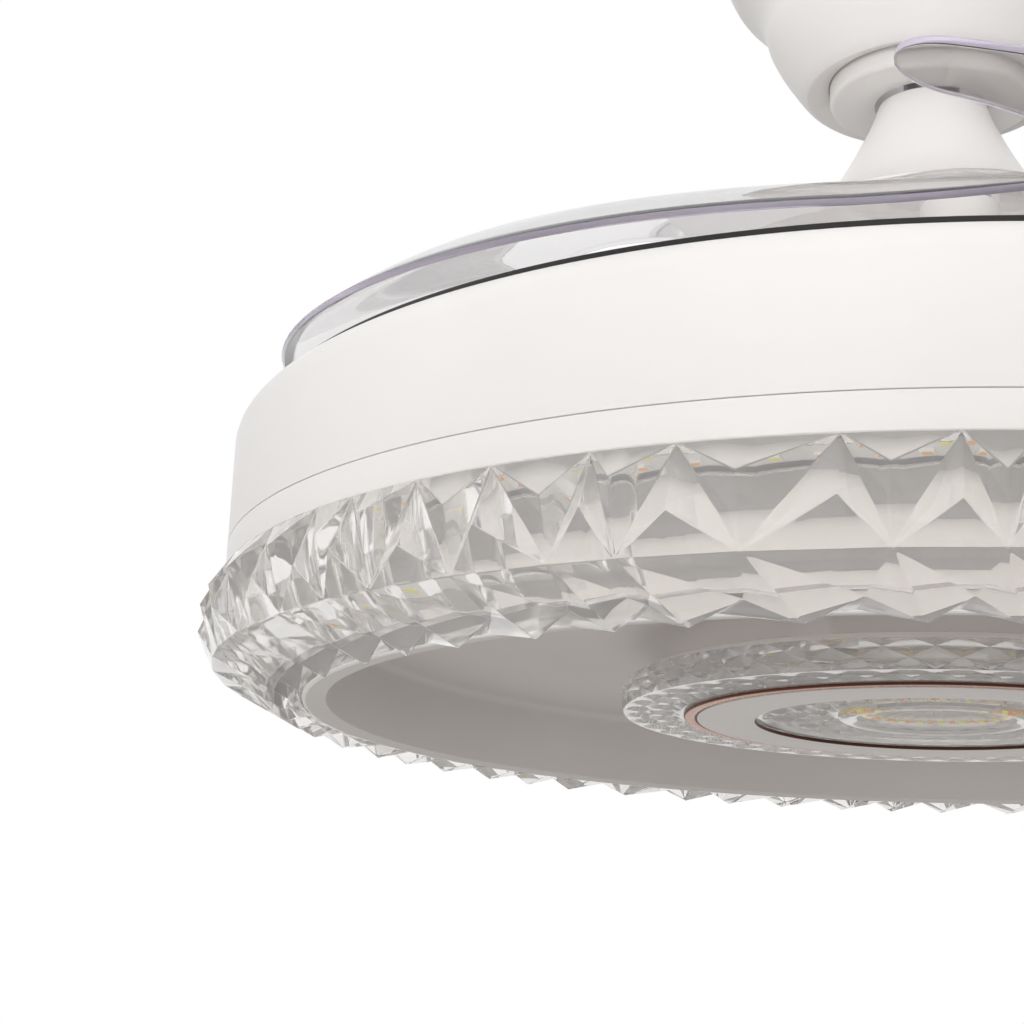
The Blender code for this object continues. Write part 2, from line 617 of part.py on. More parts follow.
def build_crystal_ring(parent):
    """The cut crystal ring: two rows of raised pyramids over a row of tips, and a smooth channel."""
    waists, peaks, tips, grooves = crystal_angles()
    count = len(waists)
    top = -SEAT
    bore = TRAY_LIP_RADIUS + CRYSTAL_BORE_CLEARANCE
    inner_foot = TRAY_DEPTH - CRYSTAL_BORE_LIFT
    channel_bore = bore + CRYSTAL_INNER_WALL
    channel_outer = DRUM_RADIUS - CRYSTAL_WALL
    channel_low_outer = channel_outer - CRYSTAL_CHANNEL_TAPER
    channel_foot = CRYSTAL_FLOOR - CRYSTAL_GROOVE_DEPTH
    shape = bmesh.new()

    def row(angles, radius, height):
        return [shape.verts.new(polar(radius, angle, height)) for angle in angles]

    def cut_row(angles, prouds, depths):
        points = []
        for index, angle in enumerate(angles):
            radius = DRUM_RADIUS + prouds[index % len(prouds)]
            points.append(shape.verts.new(polar(radius, angle, -depths[index % len(depths)])))
        return points

    rim = row(waists, DRUM_RADIUS + CRYSTAL_TOP_PROUD, top)
    peak = row(peaks, DRUM_RADIUS + CRYSTAL_TOP_PROUD, top)
    upper = cut_row(waists, CRYSTAL_UPPER_PROUDS, CRYSTAL_UPPER_DEPTHS)
    lower = cut_row(peaks, CRYSTAL_LOWER_PROUDS, CRYSTAL_LOWER_DEPTHS)
    waist = row(waists, DRUM_RADIUS + CRYSTAL_WAIST_PROUD, -CRYSTAL_WAIST_DEPTH)
    tip = row(tips, DRUM_RADIUS - CRYSTAL_TIP_INSET, -CRYSTAL_TIP_DEPTH)
    groove = row(grooves, DRUM_RADIUS - CRYSTAL_GROOVE_INSET, -CRYSTAL_GROOVE_DEPTH)
    levels = (
        (bore, -inner_foot),
        (bore, top),
        (channel_bore, top),
        (channel_bore, channel_foot),
        (channel_low_outer, channel_foot),
        (channel_outer, -CRYSTAL_WAIST_DEPTH / 2),
        (channel_outer, top),
    )
    inner_rows = [row(waists, radius, height) for radius, height in levels]

    for index in range(count):
        after = (index + 1) % count
        shape.faces.new((rim[index], upper[index], peak[index]))
        shape.faces.new((rim[after], peak[index], upper[after]))
        shape.faces.new((peak[index], upper[index], waist[index]))
        shape.faces.new((peak[index], waist[after], upper[after]))
        shape.faces.new((peak[index], waist[index], lower[index]))
        shape.faces.new((peak[index], lower[index], waist[after]))
        shape.faces.new((lower[index], waist[index], waist[after]))
        shape.faces.new((waist[index], groove[index], waist[after]))
        shape.faces.new((waist[index], tip[index], groove[index]))
        shape.faces.new((waist[after], groove[index], tip[after]))

        inner_foot_row, inner_top_row = inner_rows[0], inner_rows[-1]
        for inner, corner, between in ((inner_foot_row, tip, groove), (inner_top_row, rim, peak)):
            shape.faces.new((inner[index], corner[index], between[index]))
            shape.faces.new((inner[index], between[index], inner[after]))
            shape.faces.new((inner[after], between[index], corner[after]))
        for low, high in zip(inner_rows, inner_rows[1:]):
            shape.faces.new((low[index], high[index], high[after], low[after]))
    bmesh.ops.triangulate(shape, faces=shape.faces)
    bmesh.ops.recalc_face_normals(shape, faces=shape.faces)
    obj = add_object("crystal_ring", mesh_from("crystal_ring", shape, smooth=False), CRYSTAL, parent)
    obj.location.z = place(0.0)
    return obj


def build_tray(parent):
    lip_foot = -TRAY_DEPTH
    lip_top = lip_foot + TRAY_LIP_THICK
    outline = [
        (0.0, TRAY_ROOF),
        (TRAY_FLOOR_RADIUS + TRAY_WALL, TRAY_ROOF),
        (TRAY_MOUTH_RADIUS + TRAY_WALL, lip_top + TRAY_LIP_DROP),
        (TRAY_LIP_RADIUS, lip_top),
        (TRAY_LIP_RADIUS, lip_foot),
        (TRAY_MOUTH_RADIUS, lip_foot + TRAY_LIP_DROP),
        (TRAY_FLOOR_RADIUS, -TRAY_CEILING),
        (0.0, -TRAY_CEILING),
    ]
    tray = turned("recess_tray", outline, LARGE_STEPS, WHITE_PAINT, parent, place(0.0))
    hole_mesh = cylinder_mesh("tray_hole", STANDOFF_STUD_RADIUS + SEAT, TRAY_WALL + 2 * OVERRUN, SCREW_STEPS)
    for index in range(STANDOFF_COUNT):
        angle = STANDOFF_START + FULL_TURN * index / STANDOFF_COUNT
        hole_place = polar(STANDOFF_CIRCLE, angle, place(TRAY_WALL / 2 - TRAY_CEILING))
        cut(tray, add_cutter(f"tray_hole_{index + 1}", hole_mesh, hole_place, parent=parent))
    return tray


def build_standoffs(parent):
    foot = BACK_PLATE_TOP + SEAT
    shoulder = -TRAY_CEILING - SEAT
    top = BASE_PLATE_FOOT - SEAT
    outline = [
        (0.0, top - foot),
        (STANDOFF_STUD_RADIUS, top - foot),
        (STANDOFF_STUD_RADIUS, shoulder - foot),
        (STANDOFF_RADIUS, shoulder - foot),
        (STANDOFF_RADIUS, 0.0),
        (0.0, 0.0),
    ]
    for index in range(STANDOFF_COUNT):
        angle = STANDOFF_START + FULL_TURN * index / STANDOFF_COUNT
        standoff = turned(f"standoff_{index + 1}", outline, SMALL_STEPS, WHITE_PLASTIC, parent)
        standoff.location = polar(STANDOFF_CIRCLE, angle, place(foot))


def build_cut_disc(parent):
    """The small crystal disc: a ring whose rim is cut into a row of pyramids."""
    half = DISC_THICK / 2
    valley = DISC_RADIUS - DISC_VALLEY
    shape = bmesh.new()
    rows = {key: [] for key in ("bore_top", "top", "apex", "foot", "bore_foot")}
    middle = []
    for index in range(DISC_CUT_COUNT):
        angle = FULL_TURN * index / DISC_CUT_COUNT
        between = angle + math.pi / DISC_CUT_COUNT
        rows["bore_top"].append(shape.verts.new(polar(DISC_BORE, angle, half)))
        rows["top"].append(shape.verts.new(polar(valley, angle, half)))
        middle.append(shape.verts.new(polar(valley, angle, 0.0)))
        rows["apex"].append(shape.verts.new(polar(DISC_RADIUS, between, 0.0)))
        rows["foot"].append(shape.verts.new(polar(valley, angle, -half)))
        rows["bore_foot"].append(shape.verts.new(polar(DISC_BORE, angle, -half)))
    for index in range(DISC_CUT_COUNT):
        after = (index + 1) % DISC_CUT_COUNT
        top, foot, apex = rows["top"], rows["foot"], rows["apex"]
        shape.faces.new((top[index], middle[index], apex[index]))
        shape.faces.new((top[after], top[index], apex[index]))
        shape.faces.new((middle[after], top[after], apex[index]))
        shape.faces.new((middle[index], foot[index], apex[index]))
        shape.faces.new((foot[index], foot[after], apex[index]))
        shape.faces.new((foot[after], middle[after], apex[index]))
        for lower, higher in (("bore_top", "top"), ("foot", "bore_foot"), ("bore_foot", "bore_top")):
            low, high = rows[lower], rows[higher]
            shape.faces.new((low[index], high[index], high[after], low[after]))
    bmesh.ops.recalc_face_normals(shape, faces=shape.faces)
    disc = add_object("crystal_disc", mesh_from("crystal_disc", shape, smooth=False), CRYSTAL, parent)
    disc.location.z = place(DISC_FOOT + half)
    return disc


def build_small_disc(parent):
    ring("disc_back_plate", BACK_PLATE_RADIUS, SHAFT_RADIUS, BACK_PLATE_FOOT, BACK_PLATE_TOP,
         MIDDLE_STEPS, WHITE_PAINT, parent)
    build_cut_disc(parent)
    board_top = -DISC_TOP
    ring("inner_light_board", INNER_BOARD_RADIUS, SHAFT_RADIUS, INNER_BOARD_FOOT, board_top,
         MIDDLE_STEPS, BOARD, parent)
    trim_top = DISC_FOOT - SEAT
    ring("white_ring", WHITE_RING_OUTER, WHITE_RING_BORE, trim_top - WHITE_RING_THICK, trim_top,
         COVER_STEPS, WHITE_PAINT, parent)
    copper_outer = COPPER_RING_BORE + COPPER_RING_WIDTH
    ring("copper_ring", copper_outer, COPPER_RING_BORE, trim_top - COPPER_RING_THICK, trim_top,
         COVER_STEPS, COPPER, parent)
    build_centre_crystal(parent)


def build_centre_crystal(parent):
    """Clear centre of the small disc, with a flange outside and a raised rounded ring."""
    edge = DISC_BORE - SEAT
    top = INNER_BOARD_FOOT - SEAT
    face = DISC_FOOT + CENTRE_FACE_STEP
    hub_foot = face - CENTRE_HUB_PROUD
    hub_bore = CENTRE_HUB_OUTER - CENTRE_HUB_WIDTH
    outline = [
        (0.0, top),
        (edge, top),
        (edge, DISC_FOOT),
        (edge - CENTRE_FLANGE_WIDTH, DISC_FOOT),
        (edge - CENTRE_FLANGE_WIDTH, face),
        (CENTRE_HUB_OUTER, face),
        (CENTRE_HUB_OUTER, hub_foot + CENTRE_HUB_ROUND),
        (CENTRE_HUB_OUTER - CENTRE_HUB_ROUND, hub_foot),
        (hub_bore + CENTRE_HUB_ROUND, hub_foot),
        (hub_bore, hub_foot + CENTRE_HUB_ROUND),
        (hub_bore, face),
        (0.0, face),
    ]
    return turned("centre_crystal", outline, COVER_STEPS, CRYSTAL, parent, place(0.0))


def build_boxes(parent):
    for name, size, side in (("light_driver", DRIVER_SIZE, 1), ("remote_receiver", RECEIVER_SIZE, -1)):
        box = add_object(name, box_mesh(name, size), WHITE_PLASTIC, parent)
        box_y = side * (BOX_DISTANCE + size[1] / 2)
        box.location = (0.0, box_y, place(BASE_PLATE_TOP + SEAT + size[2] / 2))
        bevel = box.modifiers.new("round_corners", "BEVEL")
        bevel.width = BOX_CORNER
        bevel.segments = BOX_CORNER_STEPS


def build_shaft(parent):
    nut_top = BASE_PLATE_FOOT - SEAT
    foot = nut_top - NUT_THICK - SHAFT_TAIL
    bore = SHAFT_RADIUS - SHAFT_WALL
    ring("motor_shaft", SHAFT_RADIUS, bore, foot, SHAFT_TOP, SMALL_STEPS, STEEL, parent)
    nut = add_object(
        "shaft_nut", cylinder_mesh("shaft_nut", NUT_ACROSS / 2, NUT_THICK, NUT_SIDE_COUNT), STEEL, parent
    )
    nut.location.z = place(nut_top - NUT_THICK / 2)
    hole = cylinder_mesh("nut_hole", SHAFT_RADIUS + SEAT, NUT_THICK + 2 * OVERRUN, SMALL_STEPS)
    cut(nut, add_cutter("nut_hole", hole, nut.location, parent=parent))


def build_stator(parent):
    """Laminated stator: a core with T-shaped teeth, cut from one flat outline."""
    outline = []
    pitch = FULL_TURN / STATOR_TOOTH_COUNT
    neck_radius = STATOR_RADIUS - STATOR_SHOE_THICK
    core_half = math.asin(STATOR_TOOTH_WIDTH / 2 / STATOR_CORE_RADIUS)
    neck_half = math.asin(STATOR_TOOTH_WIDTH / 2 / neck_radius)
    shoe_half = pitch / 2 - STATOR_SLOT_MOUTH / 2 / STATOR_RADIUS
    for index in range(STATOR_TOOTH_COUNT):
        middle = pitch * index
        for radius, offset in (
            (STATOR_CORE_RADIUS, -core_half), (neck_radius, -neck_half), (neck_radius, -shoe_half),
            (STATOR_RADIUS, -shoe_half), (STATOR_RADIUS, 0.0), (STATOR_RADIUS, shoe_half),
            (neck_radius, shoe_half), (neck_radius, neck_half), (STATOR_CORE_RADIUS, core_half),
        ):
            outline.append(tuple(polar(radius, middle + offset, 0.0).xy))
    bore = circle_outline(SHAFT_RADIUS + SEAT, SMALL_STEPS)
    stator = flat_plate("stator", [outline, bore], STATOR_HEIGHT, STEEL, parent)
    stator.location.z = place(MOTOR_SPLIT)
    return stator


def build_motor_shell(name, parent, foot, flip):
    """One half of the rotor housing: a cup with a seat for its bearing in the middle."""
    height = MOTOR_HEIGHT / 2 - SEAT / 2
    seat_bore = BEARING_RADIUS + SEAT
    lip_bore = BEARING_RADIUS - BEARING_LIP
    outline = [
        (MOTOR_RADIUS, height),
        (MOTOR_RADIUS, 0.0),
        (lip_bore, 0.0),
        (lip_bore, MOTOR_WALL),
        (seat_bore, MOTOR_WALL),
        (seat_bore, BEARING_SEAT_HEIGHT),
        (seat_bore + MOTOR_WALL, BEARING_SEAT_HEIGHT),
        (seat_bore + MOTOR_WALL, MOTOR_WALL + SEAT),
        (MOTOR_RADIUS - MOTOR_WALL, MOTOR_WALL + SEAT),
        (MOTOR_RADIUS - MOTOR_WALL, height),
    ]
    if flip:
        outline = [(radius, -rise) for radius, rise in outline]
    return turned(name, outline, MIDDLE_STEPS, STEEL, parent, place(foot))


def build_motor(rotor, parent):
    build_motor_shell("lower_rotor_shell", rotor, MOTOR_FOOT, False)
    build_motor_shell("upper_rotor_shell", rotor, MOTOR_TOP, True)
    magnet_foot = MOTOR_SPLIT - MAGNET_HEIGHT / 2
    ring("magnet_ring", MAGNET_OUTER, MAGNET_BORE, magnet_foot, magnet_foot + MAGNET_HEIGHT,
         MIDDLE_STEPS, MAGNET, rotor)
    lower_foot = MOTOR_FOOT + MOTOR_WALL + SEAT
    upper_foot = MOTOR_TOP - BEARING_SEAT_HEIGHT
    for name, foot in (("lower_bearing", lower_foot), ("upper_bearing", upper_foot)):
        ring(name, BEARING_RADIUS, SHAFT_RADIUS + SEAT, foot, foot + BEARING_WIDTH,
             SMALL_STEPS, STEEL, rotor)
    build_stator(parent)


def pivot_angle(index):
    return PIVOT_START + FULL_TURN * index / BLADE_COUNT


def build_carrier(rotor):
    """Plate on the rotor with one round-ended arm for each blade's pivot, cut from one outline."""
    outline = []
    holes = [circle_outline(BEARING_RADIUS, SMALL_STEPS)]
    half_arm = math.asin(CARRIER_ARM_RADIUS / CARRIER_RADIUS)
    plate_arc = FULL_TURN / BLADE_COUNT - 2 * half_arm
    for index in range(BLADE_COUNT):
        angle = pivot_angle(index)
        centre = polar(PIVOT_CIRCLE, angle, 0.0).xy
        for step in range(CARRIER_END_STEPS + 1):
            turn = angle - math.pi / 2 + math.pi * step / CARRIER_END_STEPS
            outline.append(tuple(centre + polar(CARRIER_ARM_RADIUS, turn, 0.0).xy))
        for step in range(CARRIER_PLATE_STEPS + 1):
            turn = angle + half_arm + plate_arc * step / CARRIER_PLATE_STEPS
            outline.append(tuple(polar(CARRIER_RADIUS, turn, 0.0).xy))
        holes.append(circle_outline(PIN_RADIUS + SEAT, SMALL_STEPS, tuple(centre)))
    carrier = flat_plate("blade_carrier", [outline] + holes, CARRIER_THICK, STEEL, rotor)
    carrier.location.z = place((CARRIER_FOOT + CARRIER_TOP) / 2)
    return carrier


def build_rotor_cover(rotor):
    """White dome over the motor, open in the middle where the yoke passes."""
    foot = CARRIER_TOP + SEAT
    points = []
    for index in range(COVER_ARC_STEPS + 1):
        angle = math.pi / 2 * index / COVER_ARC_STEPS
        radius = COVER_MOUTH + (COVER_RADIUS - COVER_MOUTH) * math.sin(angle)
        height = COVER_TOP - COVER_CROWN * (1 - math.cos(angle))
        points.append((radius, height))
    points.append((COVER_RADIUS, foot))
    return turned_shell("rotor_cover", points, COVER_STEPS, COVER_WALL, WHITE_PLASTIC, rotor, place(0.0))


def blade_edges(arc_angle):
    """Outer and inner radius of the folded blade at an angle counted from its root end."""
    tip_share = min((BLADE_ARC - arc_angle) / BLADE_TIP_ARC, 1.0)
    even_part = BLADE_TIP_GROWTH * tip_share * (1 - tip_share) ** 2
    growth = even_part + tip_share ** 2 * (3 - 2 * tip_share)
    width = BLADE_TIP_WIDTH + (BLADE_WIDTH - BLADE_TIP_WIDTH) * growth
    nose_share = min((BLADE_ARC - arc_angle) / BLADE_NOSE_ARC, 1.0)
    trim = width / 2 * (1 - math.sqrt(1 - (1 - nose_share) ** 2))
    outer = BLADE_RADIUS - trim
    inner = BLADE_RADIUS - width + trim
    if arc_angle < BLADE_ROOT_ARC:
        root_share = arc_angle / BLADE_ROOT_ARC
        round_share = math.sqrt(1 - (1 - root_share) ** 2)
        outer = BLADE_ROOT_RADIUS + (outer - BLADE_ROOT_RADIUS) * round_share
        inner = BLADE_ROOT_RADIUS + (inner - BLADE_ROOT_RADIUS) * round_share
    return outer, inner


def blade_height(radius, arc_angle):
    """Height of the folded blade's middle surface: it climbs to the tip and is cambered."""
    climb_share = max(0.0, (arc_angle - BLADE_LEVEL_ARC) / (BLADE_ARC - BLADE_LEVEL_ARC))
    late_climb = climb_share ** BLADE_CLIMB_POWER
    climb = late_climb + BLADE_CLIMB_SHARE * (climb_share - late_climb)
    edge = TOP_PLATE_TOP + BLADE_LIFT + BLADE_RISE * climb
    slope = BLADE_ROOT_SLOPE + (BLADE_MIDDLE_SLOPE - BLADE_ROOT_SLOPE) * smooth_step(2 * climb_share)
    slope += (BLADE_TIP_SLOPE - slope) * smooth_step((arc_angle - BLADE_FLATTEN_START) / BLADE_FLATTEN_ARC)
    inward = BLADE_RADIUS - radius
    return edge + slope * inward - inward ** 2 / (2 * BLADE_CAMBER_RADIUS)


PAD_HEIGHT = blade_height(PIVOT_CIRCLE, PIVOT_ARC)
PAD_FOOT = PAD_HEIGHT - BLADE_THICK / 2
PAD_TOP = PAD_HEIGHT + BLADE_THICK / 2


def blade_point(radius, arc_angle):
    """A point of the blade in its own frame, whose origin is on the pivot axis at the rim's level.

    The blade runs clockwise from its root, and is levelled round the pivot into a flat pad.
    """
    turn = PIVOT_ARC - arc_angle
    point = polar(radius, turn, 0.0) - Vector((PIVOT_CIRCLE, 0.0, 0.0))
    distance = point.length
    level = 1 - smooth_step((distance - PAD_FLAT_RADIUS) / PAD_BLEND_WIDTH)
    height = blade_height(radius, arc_angle)
    point.z = height + (PAD_HEIGHT - height) * level
    return point


def blade_arcs():
    """Arc angles of the lines across the blade, close together at its ends and beside the pad."""
    pad_half = PAD_HALF_WIDTH / PIVOT_CIRCLE
    root_side = PIVOT_ARC - pad_half
    tip_side = PIVOT_ARC + pad_half
    arcs = [BLADE_ARC * BLADE_ROOT_END_SHARE]
    for line in range(1, BLADE_ROOT_STEPS + 1):
        arcs.append(root_side * (line / BLADE_ROOT_STEPS) ** 2)
    last = BLADE_ARC * (1 - BLADE_TIP_END_SHARE)
    for line in range(BLADE_STEPS + 1):
        arcs.append(tip_side + (last - tip_side) * math.sin(math.pi / 2 * line / BLADE_STEPS))
    return arcs


def blade_mesh():
    """The blade's middle surface, lofted from root to tip."""
    shape = bmesh.new()
    grid = []
    for arc_angle in blade_arcs():
        outer, inner = blade_edges(arc_angle)
        line = []
        for share in BLADE_ROW_SHARES:
            radius = outer + (inner - outer) * share
            line.append(shape.verts.new(blade_point(radius, arc_angle)))
        grid.append(line)
    for line, following in zip(grid, grid[1:]):
        for row in range(len(line) - 1):
            shape.faces.new((line[row], line[row + 1], following[row + 1], following[row]))
    bmesh.ops.recalc_face_normals(shape, faces=shape.faces)
    return mesh_from("blade", shape)


def spring_object(name, parent):
    """Return spring: a short coil round the pivot pin, inside the hub's cup."""
    curve = bpy.data.curves.new(name, "CURVE")
    curve.dimensions = "3D"
    curve.bevel_depth = SPRING_WIRE / 2
    curve.bevel_resolution = 0
    curve.use_fill_caps = True
    spline = curve.splines.new("POLY")
    count = SPRING_TURN_COUNT * SPRING_TURN_STEPS + 1
    radius = HUB_RADIUS - HUB_WALL - SPRING_CLEARANCE - SPRING_WIRE / 2
    pitch = SPRING_WIRE + SPRING_GAP
    spline.points.add(count - 1)
    for index, point in enumerate(spline.points):
        turns = index / SPRING_TURN_STEPS
        point.co = (*polar(radius, FULL_TURN * turns, pitch * turns), 1.0)
    obj = bpy.data.objects.new(name, curve)
    part_collection.objects.link(obj)
    obj.parent = parent
    curve.materials.append(STEEL)
    return obj


def build_blade(index, rotor, folded_mesh):
    number = index + 1
    pivot = add_empty(f"blade_pivot_{number}", polar(PIVOT_CIRCLE, pivot_angle(index), place(0.0)), rotor)
    pivot.rotation_euler.z = pivot_angle(index)

    blade = add_object(f"blade_{number}", folded_mesh, BLADE_PLASTIC, pivot)
    wall = blade.modifiers.new("thickness", "SOLIDIFY")
    wall.thickness = BLADE_THICK
    wall.offset = 0.0
    bore = PIN_RADIUS + SEAT
    hole = cylinder_mesh("blade_hole", bore, BLADE_THICK + 2 * OVERRUN, SMALL_STEPS)
    cut(blade, add_cutter(f"blade_hole_{number}", hole, (0.0, 0.0, PAD_HEIGHT), parent=pivot))

    foot = CARRIER_TOP + SEAT
    top = PAD_FOOT - SEAT
    cup_top = foot + HUB_CUP_DEPTH
    hub_outline = [
        (HUB_RADIUS - HUB_TAPER, top),
        (HUB_RADIUS, cup_top),
        (HUB_RADIUS, foot),
        (HUB_RADIUS - HUB_WALL, foot),
        (HUB_RADIUS - HUB_WALL, cup_top),
        (bore, cup_top),
        (bore, top),
    ]
    turned(f"blade_hub_{number}", hub_outline, SMALL_STEPS, WHITE_PLASTIC, pivot)

    pin_foot = CARRIER_FOOT - SEAT
    pin_head = PAD_TOP + SEAT
    pin_outline = [
        (0.0, pin_head + PIN_HEAD_THICK),
        (PIN_HEAD_RADIUS - PIN_HEAD_THICK / 2, pin_head + PIN_HEAD_THICK),
        (PIN_HEAD_RADIUS, pin_head + PIN_HEAD_THICK / 2),
        (PIN_HEAD_RADIUS, pin_head),
        (PIN_RADIUS, pin_head),
        (PIN_RADIUS, pin_foot),
        (PIN_FOOT_RADIUS, pin_foot),
        (PIN_FOOT_RADIUS, pin_foot - PIN_FOOT_THICK),
        (0.0, pin_foot - PIN_FOOT_THICK),
    ]
    turned(f"pivot_pin_{number}", pin_outline, SMALL_STEPS, STEEL, pivot)

    spring = spring_object(f"return_spring_{number}", pivot)
    spring.location.z = foot + SPRING_WIRE / 2


def build_yoke(parent):
    """Coupling between the down rod above and the motor shaft below."""
    shaft_bore = SHAFT_RADIUS + SEAT
    rod_bore = ROD_RADIUS + SEAT
    outline = [
        (0.0, YOKE_TOP - YOKE_ROD_DEPTH),
        (rod_bore, YOKE_TOP - YOKE_ROD_DEPTH),
        (rod_bore, YOKE_TOP),
        (YOKE_RADIUS, YOKE_TOP),
        (YOKE_RADIUS, YOKE_FOOT),
        (shaft_bore, YOKE_FOOT),
        (shaft_bore, SHAFT_TOP + SEAT),
        (0.0, SHAFT_TOP + SEAT),
    ]
    return turned("motor_yoke", outline, SMALL_STEPS, STEEL, parent, place(0.0))


def neck_points():
    """The neck's outer side, from top to bottom."""
    widening = NECK_FOOT_RADIUS - NECK_TOP_RADIUS
    height = NECK_TOP - NECK_FOOT
    points = []
    for wide_share, down_share in NECK_OUTLINE_SHARES:
        points.append((NECK_TOP_RADIUS + widening * wide_share, NECK_TOP - height * down_share))
    return points


def neck_radius(height):
    """The neck's outer radius at a height."""
    points = neck_points()
    for (upper_radius, upper), (lower_radius, lower) in zip(points, points[1:]):
        if lower <= height <= upper:
            share = (upper - height) / (upper - lower)
            return upper_radius + (lower_radius - upper_radius) * share
    return points[-1][0]


def build_neck(parent):
    """Trumpet cover round the stem, with a collar inside that sits on the yoke."""
    neck = turned_shell(
        "neck_cover", neck_points(), MIDDLE_STEPS, NECK_WALL, WHITE_PAINT, parent, place(0.0)
    )
    collar_foot = YOKE_TOP + SEAT
    collar_top = collar_foot + NECK_COLLAR_THICK
    collar_outer = neck_radius(collar_top) - NECK_WALL / 2
    collar = ring("neck_collar", collar_outer, ROD_RADIUS + SEAT, collar_foot, collar_top,
                  MIDDLE_STEPS, None, parent)
    part_collection.objects.unlink(collar)
    cutter_collection.objects.link(collar)
    collar.hide_render = True
    collar.display_type = "WIRE"
    join(neck, collar)
    return neck


def build_rod(parent):
    foot = YOKE_TOP - YOKE_ROD_DEPTH + SEAT
    rod = ring("down_rod", ROD_RADIUS, ROD_RADIUS - ROD_WALL, foot, ROD_TOP, SMALL_STEPS, STEEL, parent)
    hole = cylinder_mesh("rod_pin_hole", CROSS_PIN_RADIUS + SEAT, 2 * ROD_RADIUS + 2 * OVERRUN, SCREW_STEPS)
    across = (math.pi / 2, 0.0, 0.0)
    cut(rod, add_cutter("rod_pin_hole", hole, (0.0, 0.0, place(BALL_HEIGHT)), across, parent))
    pin_length = 2 * (BALL_RADIUS - CROSS_PIN_INSET)
    pin_mesh = cylinder_mesh("cross_pin", CROSS_PIN_RADIUS, pin_length, SCREW_STEPS)
    pin = add_object("cross_pin", pin_mesh, STEEL, parent)
    pin.location.z = place(BALL_HEIGHT)
    pin.rotation_euler = across


def build_ball(parent):
    """Hanger ball: a sphere cut flat above and below, bored for the rod and the cross pin."""
    outline = []
    start = math.asin(BALL_CROWN_SHARE)
    end = -math.asin(BALL_BASE_SHARE)
    bore = ROD_RADIUS + BALL_ROD_CLEARANCE
    outline += arc((0.0, 0.0), BALL_RADIUS, start, end, BALL_ARC_STEPS)
    outline += [(bore, -BALL_BASE), (bore, BALL_CROWN)]
    ball = turned("hanger_ball", outline, SMALL_STEPS, DARK_PLASTIC, parent)
    hole_length = 2 * BALL_RADIUS + 2 * OVERRUN
    hole = cylinder_mesh("ball_pin_hole", CROSS_PIN_RADIUS + SEAT, hole_length, SCREW_STEPS)
    across = (math.pi / 2, 0.0, 0.0)
    cut(ball, add_cutter("ball_pin_hole", hole, (0.0, 0.0, 0.0), across, parent))
    return ball


def build_bracket():
    """Ceiling bracket bent from one steel strap: plate, end tabs and a loop with the ball seat."""
    half = BRACKET_LENGTH / 2
    tab_inner = half - BRACKET_STRAP
    loop = BRACKET_LOOP_WIDTH / 2
    loop_inner = loop - BRACKET_STRAP
    outer = [
        (-half, 0.0), (half, 0.0), (half, -BRACKET_TAB), (tab_inner, -BRACKET_TAB),
        (tab_inner, -BRACKET_STRAP), (loop, -BRACKET_STRAP), (loop, -BRACKET_LOOP_DEPTH),
        (-loop, -BRACKET_LOOP_DEPTH), (-loop, -BRACKET_STRAP), (-tab_inner, -BRACKET_STRAP),
        (-tab_inner, -BRACKET_TAB), (-half, -BRACKET_TAB),
    ]
    window = [
        (-loop_inner, -BRACKET_STRAP), (loop_inner, -BRACKET_STRAP),
        (loop_inner, BRACKET_STRAP - BRACKET_LOOP_DEPTH), (-loop_inner, BRACKET_STRAP - BRACKET_LOOP_DEPTH),
    ]
    bracket = flat_plate("hanger_bracket", [outer, window], BRACKET_WIDTH, STEEL)
    bracket.rotation_euler.x = math.pi / 2

    seat_radius = BALL_RADIUS + 2 * SEAT
    low_radius = math.sqrt(seat_radius ** 2 - BALL_SEAT_DEPTH ** 2)
    high_radius = math.sqrt(seat_radius ** 2 - (BALL_SEAT_DEPTH - BRACKET_STRAP) ** 2)
    flare = (high_radius - low_radius) / BRACKET_STRAP * OVERRUN
    seat = cylinder_mesh(
        "ball_seat", low_radius - flare, BRACKET_STRAP + 2 * OVERRUN, SMALL_STEPS, high_radius + flare
    )
    seat_place = (0.0, 0.0, BRACKET_STRAP / 2 - BRACKET_LOOP_DEPTH)
    cut(bracket, add_cutter("ball_seat", seat, seat_place))

    slot_length = BRACKET_WIDTH / 2 + OVERRUN
    slot_width = 2 * (ROD_RADIUS + BRACKET_SLOT_CLEARANCE)
    slot = box_mesh("ball_slot", (slot_width, slot_length, BRACKET_STRAP + 2 * OVERRUN))
    slot_place = (0.0, slot_length / 2, BRACKET_STRAP / 2 - BRACKET_LOOP_DEPTH)
    cut(bracket, add_cutter("ball_slot", slot, slot_place))

    ceiling_slot_width = 2 * (CEILING_SCREW_RADIUS + CEILING_SLOT_CLEARANCE)
    screw_slot = box_mesh(
        "ceiling_slot", (CEILING_SLOT_LENGTH, ceiling_slot_width, BRACKET_STRAP + 2 * OVERRUN)
    )
    tab_hole = cylinder_mesh(
        "tab_hole", CANOPY_SCREW_RADIUS + SEAT, BRACKET_STRAP + 2 * OVERRUN, SCREW_STEPS
    )
    for side, label in ((1, "right"), (-1, "left")):
        slot_x = side * CEILING_SCREW_SPACING / 2
        cut(bracket, add_cutter(f"ceiling_slot_{label}", screw_slot, (slot_x, 0.0, -BRACKET_STRAP / 2)))
        tab_x = side * (half - BRACKET_STRAP / 2)
        hole_place = (tab_x, 0.0, -CANOPY_SCREW_DROP)
        cut(bracket, add_cutter(f"tab_hole_{label}", tab_hole, hole_place, (0.0, math.pi / 2, 0.0)))
    return bracket


